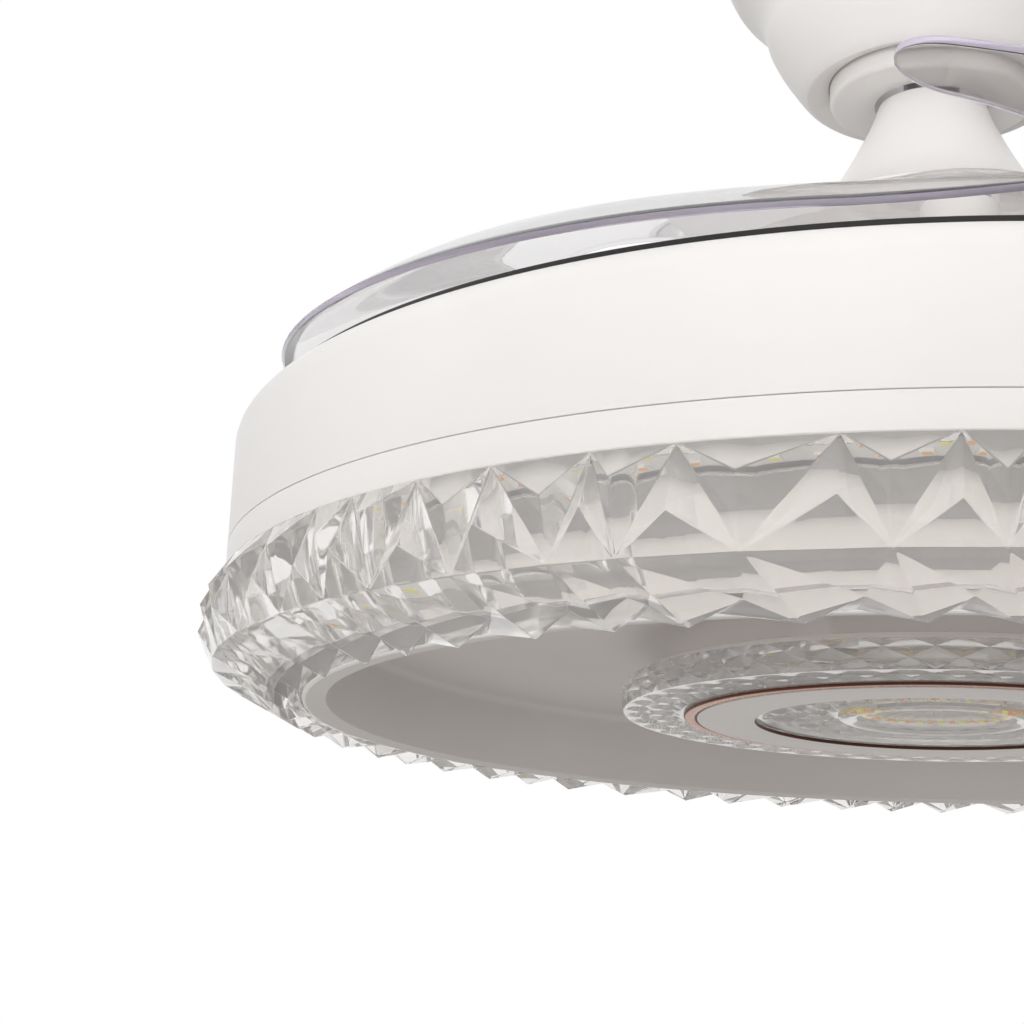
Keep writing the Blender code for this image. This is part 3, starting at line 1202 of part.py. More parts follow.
def build_ceiling_screws():
    outline = [
        (0.0, -SEAT),
        (CEILING_SCREW_RADIUS, -SEAT),
        (CEILING_SCREW_RADIUS, -BRACKET_STRAP - SEAT),
        (CEILING_SCREW_HEAD, -BRACKET_STRAP - SEAT),
        (CEILING_SCREW_HEAD, -BRACKET_STRAP - SEAT - CEILING_SCREW_HEAD_THICK / 2),
        (CEILING_SCREW_HEAD / 2, -BRACKET_STRAP - SEAT - CEILING_SCREW_HEAD_THICK),
        (0.0, -BRACKET_STRAP - SEAT - CEILING_SCREW_HEAD_THICK),
    ]
    for number, side in ((1, 1), (2, -1)):
        screw = turned(f"ceiling_screw_{number}", outline, SCREW_STEPS, STEEL)
        screw.location.x = side * CEILING_SCREW_SPACING / 2


def build_canopy():
    """Bell-shaped ceiling cover with a rounded moulding and a turned-in mouth."""
    height = CANOPY_TOP - CANOPY_RIM
    widening = CANOPY_RADIUS - CANOPY_RIM_RADIUS
    outer = []
    for wide_share, up_share in CANOPY_OUTLINE_SHARES:
        outer.append((CANOPY_RIM_RADIUS + widening * wide_share, CANOPY_RIM + height * up_share))
    outer.append((CANOPY_MOUTH_RADIUS, CANOPY_RIM + CANOPY_MOUTH_RISE))
    canopy = turned_shell("canopy", outer, COVER_STEPS, CANOPY_WALL, WHITE_PAINT, None, place(0.0))
    hole = cylinder_mesh(
        "canopy_screw_hole", CANOPY_SCREW_RADIUS + SEAT, CANOPY_WALL + 2 * SCREW_HOLE_OVERRUN, SCREW_STEPS
    )
    for side, label in ((1, "right"), (-1, "left")):
        hole_place = (side * (CANOPY_RADIUS - CANOPY_WALL / 2), 0.0, -CANOPY_SCREW_DROP)
        cutter = add_cutter(f"canopy_screw_hole_{label}", hole, hole_place, (0.0, math.pi / 2, 0.0))
        cut(canopy, cutter)
    return canopy


def build_canopy_cap():
    """Round cap that fills the canopy's mouth and leaves a gap round the neck."""
    body = CANOPY_MOUTH_RADIUS - SEAT
    flange_foot = CANOPY_RIM + CANOPY_MOUTH_RISE + CANOPY_WALL + 2 * SEAT
    flange_top = flange_foot + CAP_WALL
    outline = [(body + CAP_FLANGE, flange_top), (body + CAP_FLANGE, flange_foot), (body, flange_foot)]
    outline += arc((body - CAP_ROUND, CAP_FACE + CAP_ROUND), CAP_ROUND, 0.0, -math.pi / 2, CAP_ROUND_STEPS)
    outline += [
        (CAP_HOLE_RADIUS, CAP_FACE),
        (CAP_HOLE_RADIUS, CAP_FACE + CAP_WALL),
        (body - CAP_WALL, CAP_FACE + CAP_WALL),
        (body - CAP_WALL, flange_top),
    ]
    return turned("canopy_cap", outline, COVER_STEPS, WHITE_PAINT, None, place(0.0))


def build_canopy_screws():
    """Screws that hold the canopy to the bracket's end tabs, heads outside the canopy."""
    head_foot = CANOPY_RADIUS + SEAT
    length = head_foot - BRACKET_LENGTH / 2 + BRACKET_STRAP
    outline = [
        (0.0, CANOPY_SCREW_HEAD_THICK),
        (CANOPY_SCREW_HEAD / 2, CANOPY_SCREW_HEAD_THICK),
        (CANOPY_SCREW_HEAD, CANOPY_SCREW_HEAD_THICK / 2),
        (CANOPY_SCREW_HEAD, 0.0),
        (CANOPY_SCREW_RADIUS, 0.0),
        (CANOPY_SCREW_RADIUS, -length),
        (0.0, -length),
    ]
    for number, side in ((1, 1), (2, -1)):
        screw = turned(f"canopy_screw_{number}", outline, SCREW_STEPS, STEEL)
        screw.location = (side * head_foot, 0.0, -CANOPY_SCREW_DROP)
        screw.rotation_euler.y = side * math.pi / 2


def build_fan():
    build_bracket()
    build_ceiling_screws()
    build_canopy()
    build_canopy_cap()
    build_canopy_screws()

    ball_centre = add_empty("ball_centre", (0.0, 0.0, place(BALL_HEIGHT)))
    build_ball(ball_centre)

    hanging = add_empty("hanging_frame", (0.0, 0.0, 0.0))
    build_rod(hanging)
    build_yoke(hanging)
    build_neck(hanging)
    build_shaft(hanging)
    build_plates(hanging)
    build_drum_shell(hanging)
    build_band(hanging)
    build_outer_board(hanging)
    build_crystal_ring(hanging)
    build_tray(hanging)
    build_standoffs(hanging)
    build_small_disc(hanging)
    build_boxes(hanging)

    rotor = add_empty("rotor_axis", (0.0, 0.0, 0.0), hanging)
    build_motor(rotor, hanging)
    build_carrier(rotor)
    build_rotor_cover(rotor)
    folded_mesh = blade_mesh()
    for index in range(BLADE_COUNT):
        build_blade(index, rotor, folded_mesh)


build_fan()
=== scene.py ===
# %% [markdown]
# # A ceiling fan with folding clear blades and a crystal ring light
#
# The fan hangs from the ceiling by a short stem. A white drum carries a ring of cut crystal
# round its lower edge, and a small lit crystal disc hangs in the open recess inside that ring.
# Three clear blades lie folded over the drum and swing out when the rotor turns.
#
# The exact model is loaded first and never changed. Every piece made below is laid over one or
# more of its parts, is finer than they are, and moves with the same body.

# %% Load the frame
import math

import bmesh
import bpy
from mathutils import Matrix, Vector


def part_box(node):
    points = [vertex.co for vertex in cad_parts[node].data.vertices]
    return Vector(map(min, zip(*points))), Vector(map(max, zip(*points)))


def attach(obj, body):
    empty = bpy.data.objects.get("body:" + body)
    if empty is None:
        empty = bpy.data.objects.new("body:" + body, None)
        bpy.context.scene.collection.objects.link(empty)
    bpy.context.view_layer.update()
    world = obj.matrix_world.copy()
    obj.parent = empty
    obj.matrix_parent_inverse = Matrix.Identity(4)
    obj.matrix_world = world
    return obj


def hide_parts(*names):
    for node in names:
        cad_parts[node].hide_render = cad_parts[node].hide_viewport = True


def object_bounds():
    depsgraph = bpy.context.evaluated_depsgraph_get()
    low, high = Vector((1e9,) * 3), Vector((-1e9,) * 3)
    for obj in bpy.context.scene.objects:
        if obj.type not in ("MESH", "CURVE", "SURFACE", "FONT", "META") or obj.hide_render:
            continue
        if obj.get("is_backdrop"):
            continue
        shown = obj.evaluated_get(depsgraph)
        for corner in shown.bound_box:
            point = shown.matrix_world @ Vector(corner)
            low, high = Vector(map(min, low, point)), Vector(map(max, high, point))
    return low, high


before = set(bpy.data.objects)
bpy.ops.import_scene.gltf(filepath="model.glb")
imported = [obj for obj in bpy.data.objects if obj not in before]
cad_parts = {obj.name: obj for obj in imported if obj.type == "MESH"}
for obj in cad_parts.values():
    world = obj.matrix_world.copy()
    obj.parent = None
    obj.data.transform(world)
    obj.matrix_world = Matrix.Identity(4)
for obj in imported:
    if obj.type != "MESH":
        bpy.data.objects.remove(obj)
cad_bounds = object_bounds()
for name in ("Cube", "Light", "Camera"):
    if name in bpy.data.objects:
        bpy.data.objects.remove(bpy.data.objects[name], do_unlink=True)

# %% [markdown]
# ## Heights and turns
#
# The origin is on the ceiling, but a lamp maker measures from the drum's lower edge, because
# the crystal hangs below it and the blades stand above it. `level` turns such a height into a
# height of the scene. Angles go round the rotor's axis, and the photograph looks along +Y.

# %% Places
MM = 0.001
RIM_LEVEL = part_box("lower_band")[0].z
DRUM_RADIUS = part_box("lower_band")[1].x
FULL_TURN = 2 * math.pi


def level(height):
    """Scene height of a height measured from the drum's lower edge."""
    return RIM_LEVEL + height


def polar(radius, angle, height=0.0):
    return Vector((radius * math.cos(angle), radius * math.sin(angle), height))


print(f"Drum radius {DRUM_RADIUS / MM:.1f} mm, its lower edge {-RIM_LEVEL / MM:.1f} mm under the ceiling")

# %% [markdown]
# ## Camera
#
# The photograph is a close view from under the drum. The camera's place and its long lens were
# worked out from the ellipses of the drum, the recess and the small disc, which are circles of
# one axis. The near part of the drum is shown and the rest runs out of the frame.

# %% Camera
CAMERA_DISTANCE = 714.10 * MM
CAMERA_HEIGHT = -136.63 * MM
CAMERA_YAW = -0.2142
CAMERA_PITCH = 0.2422
CAMERA_ROLL = 0.0449
IMAGE_SIDE = 1024
FOCAL_PIXELS = 2004.70
SENSOR = 36.0

ahead = Vector((
    math.sin(CAMERA_YAW) * math.cos(CAMERA_PITCH),
    math.cos(CAMERA_YAW) * math.cos(CAMERA_PITCH),
    math.sin(CAMERA_PITCH),
))
level_right = Vector((math.cos(CAMERA_YAW), -math.sin(CAMERA_YAW), 0.0))
level_up = level_right.cross(ahead)
right = level_right * math.cos(CAMERA_ROLL) + level_up * math.sin(CAMERA_ROLL)
up = level_up * math.cos(CAMERA_ROLL) - level_right * math.sin(CAMERA_ROLL)

camera_data = bpy.data.cameras.new("photo_camera")
camera_data.sensor_width = SENSOR
camera_data.lens = FOCAL_PIXELS / IMAGE_SIDE * SENSOR
camera_data.clip_start = 0.01
camera = bpy.data.objects.new("photo_camera", camera_data)
bpy.context.scene.collection.objects.link(camera)
turn = Matrix((right, up, -ahead)).transposed().to_4x4()
camera.matrix_world = Matrix.Translation((0.0, -CAMERA_DISTANCE, level(CAMERA_HEIGHT))) @ turn
bpy.context.scene.camera = camera
print(f"Camera lens {camera_data.lens:.1f} mm, looking up {math.degrees(CAMERA_PITCH):.1f} degrees")

# %% [markdown]
# ## A start for every finish
#
# No real surface has one flat colour. Each finish starts as a Principled shader whose colour
# drifts a little between two tones, whose gloss is uneven, and whose surface has a fine bump.
# All three come from noise in object space, so they sit still on the piece and need no images.

# %% Finish helpers
def put(node, **values):
    """Sets inputs of a node; an underscore in a name stands for a space."""
    for name, value in values.items():
        node.inputs[name.replace("_", " ")].default_value = value


def new_finish(name, roughness, metallic=0.0, ior=1.5):
    material = bpy.data.materials.new(name)
    material.use_nodes = True
    shader = material.node_tree.nodes["Principled BSDF"]
    put(shader, Roughness=roughness, Metallic=metallic, IOR=ior)
    return material, shader


def grain(material, scale, detail=3.0, stretch=(1.0, 1.0, 1.0)):
    """Noise in object space; stretch above 1 packs it closer along that axis."""
    nodes, links = material.node_tree.nodes, material.node_tree.links
    place = nodes.new("ShaderNodeTexCoord")
    mapping = nodes.new("ShaderNodeMapping")
    put(mapping, Scale=stretch)
    noise = nodes.new("ShaderNodeTexNoise")
    put(noise, Scale=scale, Detail=detail)
    links.new(place.outputs["Object"], mapping.inputs["Vector"])
    links.new(mapping.outputs["Vector"], noise.inputs["Vector"])
    return noise.outputs["Fac"]


def tones(material, factor, first, second, low=0.35, high=0.65):
    """Colour that drifts from one tone to the other with a factor."""
    ramp = material.node_tree.nodes.new("ShaderNodeValToRGB")
    ramp.color_ramp.elements[0].position = low
    ramp.color_ramp.elements[0].color = (*first, 1.0)
    ramp.color_ramp.elements[1].position = high
    ramp.color_ramp.elements[1].color = (*second, 1.0)
    material.node_tree.links.new(factor, ramp.inputs["Fac"])
    return ramp.outputs["Color"]


def between(material, factor, low, high):
    """Number that moves from low to high as the factor goes from 0 to 1."""
    spread = material.node_tree.nodes.new("ShaderNodeMapRange")
    put(spread, To_Min=low, To_Max=high)
    material.node_tree.links.new(factor, spread.inputs["Value"])
    return spread.outputs["Result"]


def dents(material, factor, height):
    nodes, links = material.node_tree.nodes, material.node_tree.links
    bump = nodes.new("ShaderNodeBump")
    put(bump, Distance=height, Strength=1.0)
    links.new(factor, bump.inputs["Height"])
    links.new(bump.outputs["Normal"], nodes["Principled BSDF"].inputs["Normal"])


def plain_finish(name, first, second, roughness, scale, height, metallic=0.0, stretch=(1.0, 1.0, 1.0)):
    """A finish with drifting tone, uneven gloss and a fine bump."""
    material, shader = new_finish(name, roughness, metallic)
    links = material.node_tree.links
    links.new(tones(material, grain(material, 9.0), first, second), shader.inputs["Base Color"])
    fine = grain(material, scale, stretch=stretch)
    links.new(between(material, fine, roughness * 0.85, roughness * 1.15), shader.inputs["Roughness"])
    dents(material, fine, height)
    return material


# %% [markdown]
# ## White powder paint and white plastic
#
# The drum, stem and canopy are pressed metal with a matt white powder coat, very slightly warm.
# Powder melts into a faint orange-peel of about a millimetre. The rotor cover, stand-offs and
# hubs are moulded in white plastic, which is a little smoother. The recess and the trims of the
# small disc are painted a greyer white, which is painted shade for the shade they lie in.

# %% White finishes
white_paint = plain_finish("white_paint", (0.835, 0.815, 0.80), (0.87, 0.85, 0.835), 0.42, 900, 2e-5)
white_plastic = plain_finish("white_plastic", (0.80, 0.78, 0.765), (0.83, 0.81, 0.795), 0.34, 500, 1e-5)
# Painted shade: the recess tray's inner side gets a greyer white for the shade it lies in.
tray_painted_shade = plain_finish("tray_painted_shade", (0.605, 0.572, 0.55), (0.64, 0.607, 0.585), 0.45, 900, 2e-5)
# Painted shade: the small disc's back plate and white ring get this greyer white for the shade they lie in.
trim_painted_shade = plain_finish("trim_painted_shade", (0.68, 0.645, 0.62), (0.715, 0.68, 0.655), 0.45, 900, 2e-5)
print("White finishes:", white_paint.name, white_plastic.name, tray_painted_shade.name, trim_painted_shade.name)

# %% [markdown]
# ## Dark, board, copper and steel finishes
#
# The plate on the drum shows only as a thin black line. The outer light board has white lacquer;
# the small one in the middle is painted grey, which is painted shade for the shade it lies in.
# The trim ring is rose copper, brushed round, and darker on its steep sides, which is painted
# shade for the dark gap they mirror. What is hidden is zinc-plated steel, whose plating has a
# mottled grain.

# %% Other solid finishes
BRUSHED = (1.0, 1.0, 9.0)
STACKED = (1.0, 1.0, 40.0)
METAL = 1.0

black_plastic = plain_finish("black_plastic", (0.007, 0.006, 0.006), (0.013, 0.012, 0.011), 0.55, 700, 2e-5)
dark_plastic = plain_finish("dark_plastic", (0.05, 0.05, 0.054), (0.07, 0.07, 0.075), 0.50, 600, 3e-5)
# Painted shade: the inner board is painted grey for the shade it lies in.
inner_board_painted_shade = plain_finish("inner_board_painted_shade", (0.22, 0.21, 0.20), (0.30, 0.285, 0.27), 0.40, 900, 2e-5)
board_lacquer = plain_finish("board_lacquer", (0.80, 0.80, 0.78), (0.87, 0.87, 0.86), 0.36, 1200, 1e-5)
magnet_face = plain_finish("magnet_face", (0.085, 0.085, 0.09), (0.125, 0.122, 0.125), 0.62, 1500, 4e-5)
copper = plain_finish(
    "rose_copper", (0.45, 0.195, 0.125), (0.55, 0.245, 0.160), 0.27, 420, 1e-5, METAL, BRUSHED
)
# Painted shade: this dark copper on the rings' steep sides and the white ring's bore stands for the dark gap
# they mirror.
copper_shade = plain_finish(
    "shaded_copper", (0.10, 0.045, 0.030), (0.16, 0.070, 0.045), 0.45, 420, 1e-5, METAL, BRUSHED
)
steel = plain_finish("zinc_steel", (0.50, 0.50, 0.52), (0.62, 0.62, 0.63), 0.34, 260, 2e-5, METAL)
laminations = plain_finish(
    "laminated_steel", (0.30, 0.30, 0.31), (0.42, 0.42, 0.43), 0.45, 60, 8e-5, METAL, STACKED
)
print("Solid finishes made:", len(bpy.data.materials))

# %% [markdown]
# ## Crystal and blade plastic
#
# Both are clear acrylic, so they are glass to the shader: light bends at each face and leaves
# through another. The crystal is water-clear with sharp faces, moulded with faint flow lines;
# `clearness` leaves a little of it milky, as cast acrylic with much inner reflection looks. The
# blades are tinted grey, a painted reflection of darker surroundings, and have a breath of
# violet, which gathers where one looks along the sheet, at its edge.

# %% Clear finishes
ACRYLIC_IOR = 1.49
PASSING_LIGHT = (0.985, 0.98, 0.975, 1.0)


def either(tree, first, second):
    """1 for a ray that is of one kind or of the other."""
    test = tree.nodes.new("ShaderNodeMath")
    test.operation = "MAXIMUM"
    tree.links.new(first, test.inputs[0])
    tree.links.new(second, test.inputs[1])
    return test.outputs["Value"]


def mixed(tree, factor, first, second):
    choice = tree.nodes.new("ShaderNodeMixShader")
    tree.links.new(factor, choice.inputs["Fac"])
    tree.links.new(first, choice.inputs[1])
    tree.links.new(second, choice.inputs[2])
    return choice.outputs["Shader"]


def let_light_in(material, shader):
    """Lamps and bounced light go straight through clear plastic, so what lies inside is lit."""
    tree = material.node_tree
    path = tree.nodes.new("ShaderNodeLightPath")
    lighting = either(tree, path.outputs["Is Shadow Ray"], path.outputs["Is Diffuse Ray"])
    passing = tree.nodes.new("ShaderNodeBsdfTransparent")
    put(passing, Color=PASSING_LIGHT)
    surface = mixed(tree, lighting, shader.outputs["BSDF"], passing.outputs["BSDF"])
    tree.links.new(surface, tree.nodes["Material Output"].inputs["Surface"])


def clear_finish(name, first, second, roughness, wave_scale, wave_height, clearness=1.0, ior=ACRYLIC_IOR):
    """Clear plastic; a clearness below 1 leaves some of it milky."""
    material, shader = new_finish(name, roughness, ior=ior)
    put(shader, Transmission_Weight=clearness)
    links = material.node_tree.links
    slow = grain(material, 14.0, detail=2.0)
    links.new(tones(material, slow, first, second), shader.inputs["Base Color"])
    smears = grain(material, 45.0)
    links.new(between(material, smears, roughness * 0.4, roughness * 1.6), shader.inputs["Roughness"])
    dents(material, grain(material, wave_scale, detail=1.0), wave_height)
    let_light_in(material, shader)
    return material


crystal = clear_finish(
    "crystal", (0.990, 0.972, 0.954), (0.998, 0.986, 0.972), 0.012, 60.0, 5e-5, 0.87, 1.44
)
# Painted reflection: the blades' grey tint stands for the darker surroundings a clear sheet mirrors.
blade_clear = clear_finish("blade_clear", (0.710, 0.690, 0.690), (0.750, 0.730, 0.730), 0.02, 16.0, 6e-5)
blade_edge = clear_finish("blade_edge", (0.68, 0.62, 0.75), (0.76, 0.70, 0.82), 0.10, 60.0, 4e-5, 0.45)
# Painted shade: the dark line on the blades' rounded corners.
blade_line = clear_finish("blade_line", (0.13, 0.10, 0.22), (0.20, 0.16, 0.30), 0.15, 60.0, 4e-5, 0.30)
disc_clear = clear_finish(
    "disc_clear", (0.980, 0.968, 0.955), (0.995, 0.985, 0.975), 0.010, 60.0, 5e-5, 0.80, 1.46
)
print("Clear finishes:", crystal.name, disc_clear.name, blade_clear.name, blade_edge.name, blade_line.name)

# %% [markdown]
# ## Turned pieces
#
# Most of the fan was spun or moulded round one axis. Such a piece is an outline turned round
# that axis: the Spin operation makes it from a few points, with as many facets as the photograph
# needs. Real edges are never knife-sharp, so the corners of an outline are rounded first. Pieces
# with cuts are built from closed rows of points instead, one row inside or below the other.

# %% Turning helpers
FINE_STEPS = 256
SMALL_ROUND_STEPS = 40
SOFT_EDGE = 0.35 * MM
SHARP_EDGE = math.radians(32)


def link(obj, body, slot, *nodes):
    """Hands a finished piece to its body and hides the parts it stands for; the slot is not used."""
    bpy.context.scene.collection.objects.link(obj)
    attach(obj, body)
    if nodes:
        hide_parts(*nodes)


def mesh_piece(name, shape, material, smooth=True):
    mesh = bpy.data.meshes.new(name)
    shape.to_mesh(mesh)
    shape.free()
    mesh.materials.append(material)
    if smooth:
        mesh.shade_smooth()
        mesh.set_sharp_from_angle(angle=SHARP_EDGE)
    return bpy.data.objects.new(name, mesh)


def soft_corners(outline, radius=SOFT_EDGE, steps=3):
    """Rounds the corners of a closed outline; points on the axis stay as they are."""
    points = []
    count = len(outline)
    for index, corner in enumerate(outline):
        here = Vector(corner)
        before = Vector(outline[index - 1]) - here
        after = Vector(outline[(index + 1) % count]) - here
        reach = min(radius, before.length / 3, after.length / 3)
        if corner[0] <= 0.0 or abs(before.angle(after) - math.pi) < 0.35:
            points.append(here)
            continue
        start = here + before.normalized() * reach
        end = here + after.normalized() * reach
        for step in range(steps + 1):
            share = step / steps
            points.append(start * (1 - share) ** 2 + here * 2 * share * (1 - share) + end * share ** 2)
    return [tuple(point) for point in points]


def turned(name, outline, material, steps=FINE_STEPS, centre=(0.0, 0.0), soft=SOFT_EDGE):
    """A round piece from a closed outline of (radius, height over the rim) in millimetres."""
    shape = bmesh.new()
    corners = soft_corners([(radius * MM, height * MM) for radius, height in outline], soft)
    ring = [shape.verts.new((radius, 0.0, level(height))) for radius, height in corners]
    edges = []
    for first, second in zip(ring, ring[1:] + ring[:1]):
        if first.co.x > 0.0 or second.co.x > 0.0:
            edges.append(shape.edges.new((first, second)))
    bmesh.ops.spin(
        shape, geom=ring + edges, cent=(0.0, 0.0, 0.0), axis=(0.0, 0.0, 1.0),
        angle=FULL_TURN, steps=steps, use_merge=True
    )
    bmesh.ops.remove_doubles(shape, verts=shape.verts, dist=0.002 * MM)
    bmesh.ops.recalc_face_normals(shape, faces=shape.faces)
    bmesh.ops.translate(shape, verts=shape.verts, vec=(*centre, 0.0))
    return mesh_piece(name, shape, material)


def add_turned(name, outline, material, slot, body="hanging_frame", **shaping):
    """A turned piece that is finished as it is and stands for the part of the same name."""
    link(turned(name, outline, material, **shaping), body, slot, name)


def arc(centre, radius, start, end, steps):
    """Points on an arc of an outline, from one angle to another, counted from outward to up."""
    points = []
    for step in range(steps + 1):
        angle = start + (end - start) * step / steps
        points.append((centre[0] + radius * math.cos(angle), centre[1] + radius * math.sin(angle)))
    return points


def slab(inner, outer, foot, top):
    """Outline of a flat disc or ring."""
    return [(inner, foot), (outer, foot), (outer, top), (inner, top)]


def new_point(shape, angle, radius, height):
    """A point of a cut piece, its radius and its height over the rim in millimetres."""
    return shape.verts.new(polar(radius * MM, angle, level(height * MM)))


def join_rows(shape, rows):
    """Faces between closed rows that have equally many points."""
    faces = []
    for first, second in zip(rows, rows[1:]):
        for index in range(len(first)):
            after = (index + 1) % len(first)
            faces.append(shape.faces.new((first[index], first[after], second[after], second[index])))
    return faces


def second_finish(obj, material, chosen):
    """Another finish for the faces that `chosen` picks."""
    obj.data.materials.append(material)
    for side in obj.data.polygons:
        if chosen(side):
            side.material_index = len(obj.data.materials) - 1


def rounded_edges(obj, width, angle):
    """A narrow bevel along the edges that turn by more than an angle."""
    bevel = obj.modifiers.new("rounded edges", "BEVEL")
    bevel.width = width
    bevel.segments = 2
    bevel.limit_method = "ANGLE"
    bevel.angle_limit = angle
    return bevel


# %% [markdown]
# ## The drum: shell, lower band and top plate
#
# The drum is a pressed shell with a generous rounded shoulder. Below it a separate band holds
# the crystal ring, and a fine dark line runs round where the two meet. The plate on top lies a
# little inside the shoulder and shows from below as a thin black strip.

# %% Drum, band and plates
PARTING_GAP = 0.15
BAND_HEIGHT = 10.4
BAND_LEDGE = 2.4
BAND_BORE = 243.5
BAND_WALL = 2.5
SHELL_FOOT = BAND_HEIGHT + PARTING_GAP
SHELL_TOP = 55.0
SHELL_CORNER = 8.5
SHEET = 1.5
TOP_PLATE_RADIUS = 242.4
TOP_PLATE_FOOT = 55.3
TOP_PLATE_TOP = 57.0

RIM_RADIUS = DRUM_RADIUS / MM
shoulder = (RIM_RADIUS - SHELL_CORNER, SHELL_TOP - SHELL_CORNER)
shell_outline = [
    (RIM_RADIUS, SHELL_FOOT),
    *arc(shoulder, SHELL_CORNER, 0.0, math.pi / 2, 12),
    (RIM_RADIUS - 3 * SHELL_CORNER, SHELL_TOP),
    (RIM_RADIUS - 3 * SHELL_CORNER, SHELL_TOP - SHEET),
    *arc(shoulder, SHELL_CORNER - SHEET, math.pi / 2, 0.0, 12),
    (RIM_RADIUS - SHEET, SHELL_FOOT),
]
add_turned("drum_shell", shell_outline, white_paint, "white_paint")

band_outline = [
    (RIM_RADIUS, 0.0),
    (RIM_RADIUS, BAND_HEIGHT),
    (RIM_RADIUS - BAND_WALL, BAND_HEIGHT),
    (RIM_RADIUS - BAND_WALL, BAND_LEDGE),
    (BAND_BORE, BAND_LEDGE),
    (BAND_BORE, 0.0),
]
add_turned("lower_band", band_outline, white_paint, "white_paint", soft=0.6 * MM)

plate_outline = slab(0.0, TOP_PLATE_RADIUS, TOP_PLATE_FOOT, TOP_PLATE_TOP)
add_turned("top_plate", plate_outline, black_plastic, "black_plastic")
print(f"Drum: {RIM_RADIUS * 2:.0f} mm across, parting line {PARTING_GAP} mm wide at {BAND_HEIGHT} mm")

# %% [markdown]
# ## Recess and stand-offs
#
# Inside the crystal ring the drum opens into a shallow white recess. It is a pressed tray with
# a rolled lip that also hides the ring's inner edge. Its inner side is painted a greyer white,
# which is painted shade; its outer side, which is seen only through the crystal, keeps the
# drum's brighter white. Three short white stand-offs come down from its ceiling and carry the
# small disc.

# %% Recess tray and stand-offs
LIP_RADIUS = 221.2
LIP_DEPTH = 38.1
LIP_CURL = 0.9
LIP_TOP = 1.6
TRAY_MOUTH = 213.2
TRAY_RADIUS = 211.0
TRAY_SHEET = 1.2
TRAY_CEILING = -9.0
TRAY_ROUND = 4.0

tray_bend = (TRAY_RADIUS - TRAY_ROUND, TRAY_CEILING - TRAY_ROUND)
tray_outline = [
    (0.0, TRAY_CEILING),
    *reversed(arc(tray_bend, TRAY_ROUND, 0.0, math.pi / 2, 6)),
    (TRAY_MOUTH, LIP_CURL - LIP_DEPTH),
    (LIP_RADIUS - 1.0, -LIP_DEPTH),
    (LIP_RADIUS, 0.3 - LIP_DEPTH),
    (LIP_RADIUS, LIP_TOP - LIP_DEPTH),
    (TRAY_MOUTH + TRAY_SHEET, LIP_TOP - LIP_DEPTH),
    *arc(tray_bend, TRAY_ROUND + TRAY_SHEET, 0.0, math.pi / 2, 6),
    (0.0, TRAY_CEILING + TRAY_SHEET),
]
# Painted shade: the tray's inner faces keep the greyer white, and faces turned outward get the white paint.
recess_tray = turned("recess_tray", tray_outline, tray_painted_shade)
second_finish(recess_tray, white_paint, lambda side: side.center.xy.dot(side.normal.xy) > 0)
link(recess_tray, "hanging_frame", "white_paint", "recess_tray")

STANDOFF_RADIUS = 6.4
STANDOFF_CIRCLE = 83.0
STANDOFF_START = math.radians(-118)
STANDOFF_FOOT = -20.2
STANDOFF_TOP = -9.3
standoff_outline = slab(0.0, STANDOFF_RADIUS, STANDOFF_FOOT, STANDOFF_TOP)
for index in range(3):
    spot = polar(STANDOFF_CIRCLE * MM, STANDOFF_START + FULL_TURN * index / 3)
    add_turned(
        f"standoff_{index + 1}", standoff_outline, white_plastic, "white_plastic",
        steps=SMALL_ROUND_STEPS, centre=spot.xy
    )
print("Recess", TRAY_RADIUS * 2, "mm across and", LIP_DEPTH + TRAY_CEILING, "mm deep")

# %% [markdown]
# ## The crystal ring
#
# This is the piece the eye goes to, and the hardest to get right. On the real lamp it is one
# clear moulding with hand-cut looks: two rows of raised pyramids, the lower one set between the
# upper, over a row of tips that point down and inward. Their spacing never quite repeats. Eight
# segments of seven points stand round the ring, each with its own lean, height and depth.
#
# The outside is built point by point, face by face, and stays flat-shaded: a crystal's facets
# must be flat, or the light slides over them instead of breaking. The inside is smooth, because
# in the photograph it shows as soft round arcs behind the sharp facets. Clear material needs a
# closed skin with its faces outward, so both halves are sewn into one.

# %% Crystal ring
SEGMENTS = 8
FIRST_POINT = math.radians(-137.2)
POINT_SHARES = (0.0, 0.131, 0.240, 0.400, 0.558, 0.653, 0.818)
LEAN_SHARES = (0.62, 0.42, 0.50, 0.36, 0.58, 0.48, 0.66)
CRYSTAL_TOP = -0.3
# Points of the cuts, each a (radius, height over the rim); those of a row are used in turn.
UPPER_EDGE = ((251.0, CRYSTAL_TOP),)
UPPER_POINTS = (
    (258.0, -9.5), (257.2, -11.5), (258.0, -8.5), (256.6, -10.5),
    (257.8, -12.0), (257.0, -9.0), (258.0, -10.0),
)
LOWER_POINTS = (
    (257.6, -18.5), (258.0, -16.5), (257.0, -19.5), (258.0, -17.5),
    (256.8, -16.0), (257.8, -19.0), (257.4, -17.0),
)
WAIST = ((252.5, -29.0),)
TIP = ((227.0, -42.1),)
TIP_SHIFT = 0.30
GROOVE = ((229.5, -35.7),)
CHANNEL_OUTLINE = (
    (222.1, -37.7), (222.1, CRYSTAL_TOP), (226.2, CRYSTAL_TOP), (226.2, -29.6), (227.6, -31.0),
    (230.9, -31.0), (233.6, -28.6), (237.4, -22.5), (240.1, -14.0), (241.0, CRYSTAL_TOP),
)
LENS_WALL = (232.0, 240.5)
INNER_PARTS = 8
LENS_DEPTH = 1.3
FACET_ANGLE = math.radians(9)


def crystal_angles():
    """Angles of each waist point, of the next one, and of the facet corner between them."""
    waists = [
        FIRST_POINT + FULL_TURN * (segment + share) / SEGMENTS
        for segment in range(SEGMENTS) for share in POINT_SHARES
    ]
    following = waists[1:] + [waists[0] + FULL_TURN]
    leans = LEAN_SHARES * SEGMENTS
    corners = [start + (end - start) * lean for start, end, lean in zip(waists, following, leans)]
    return waists, following, corners


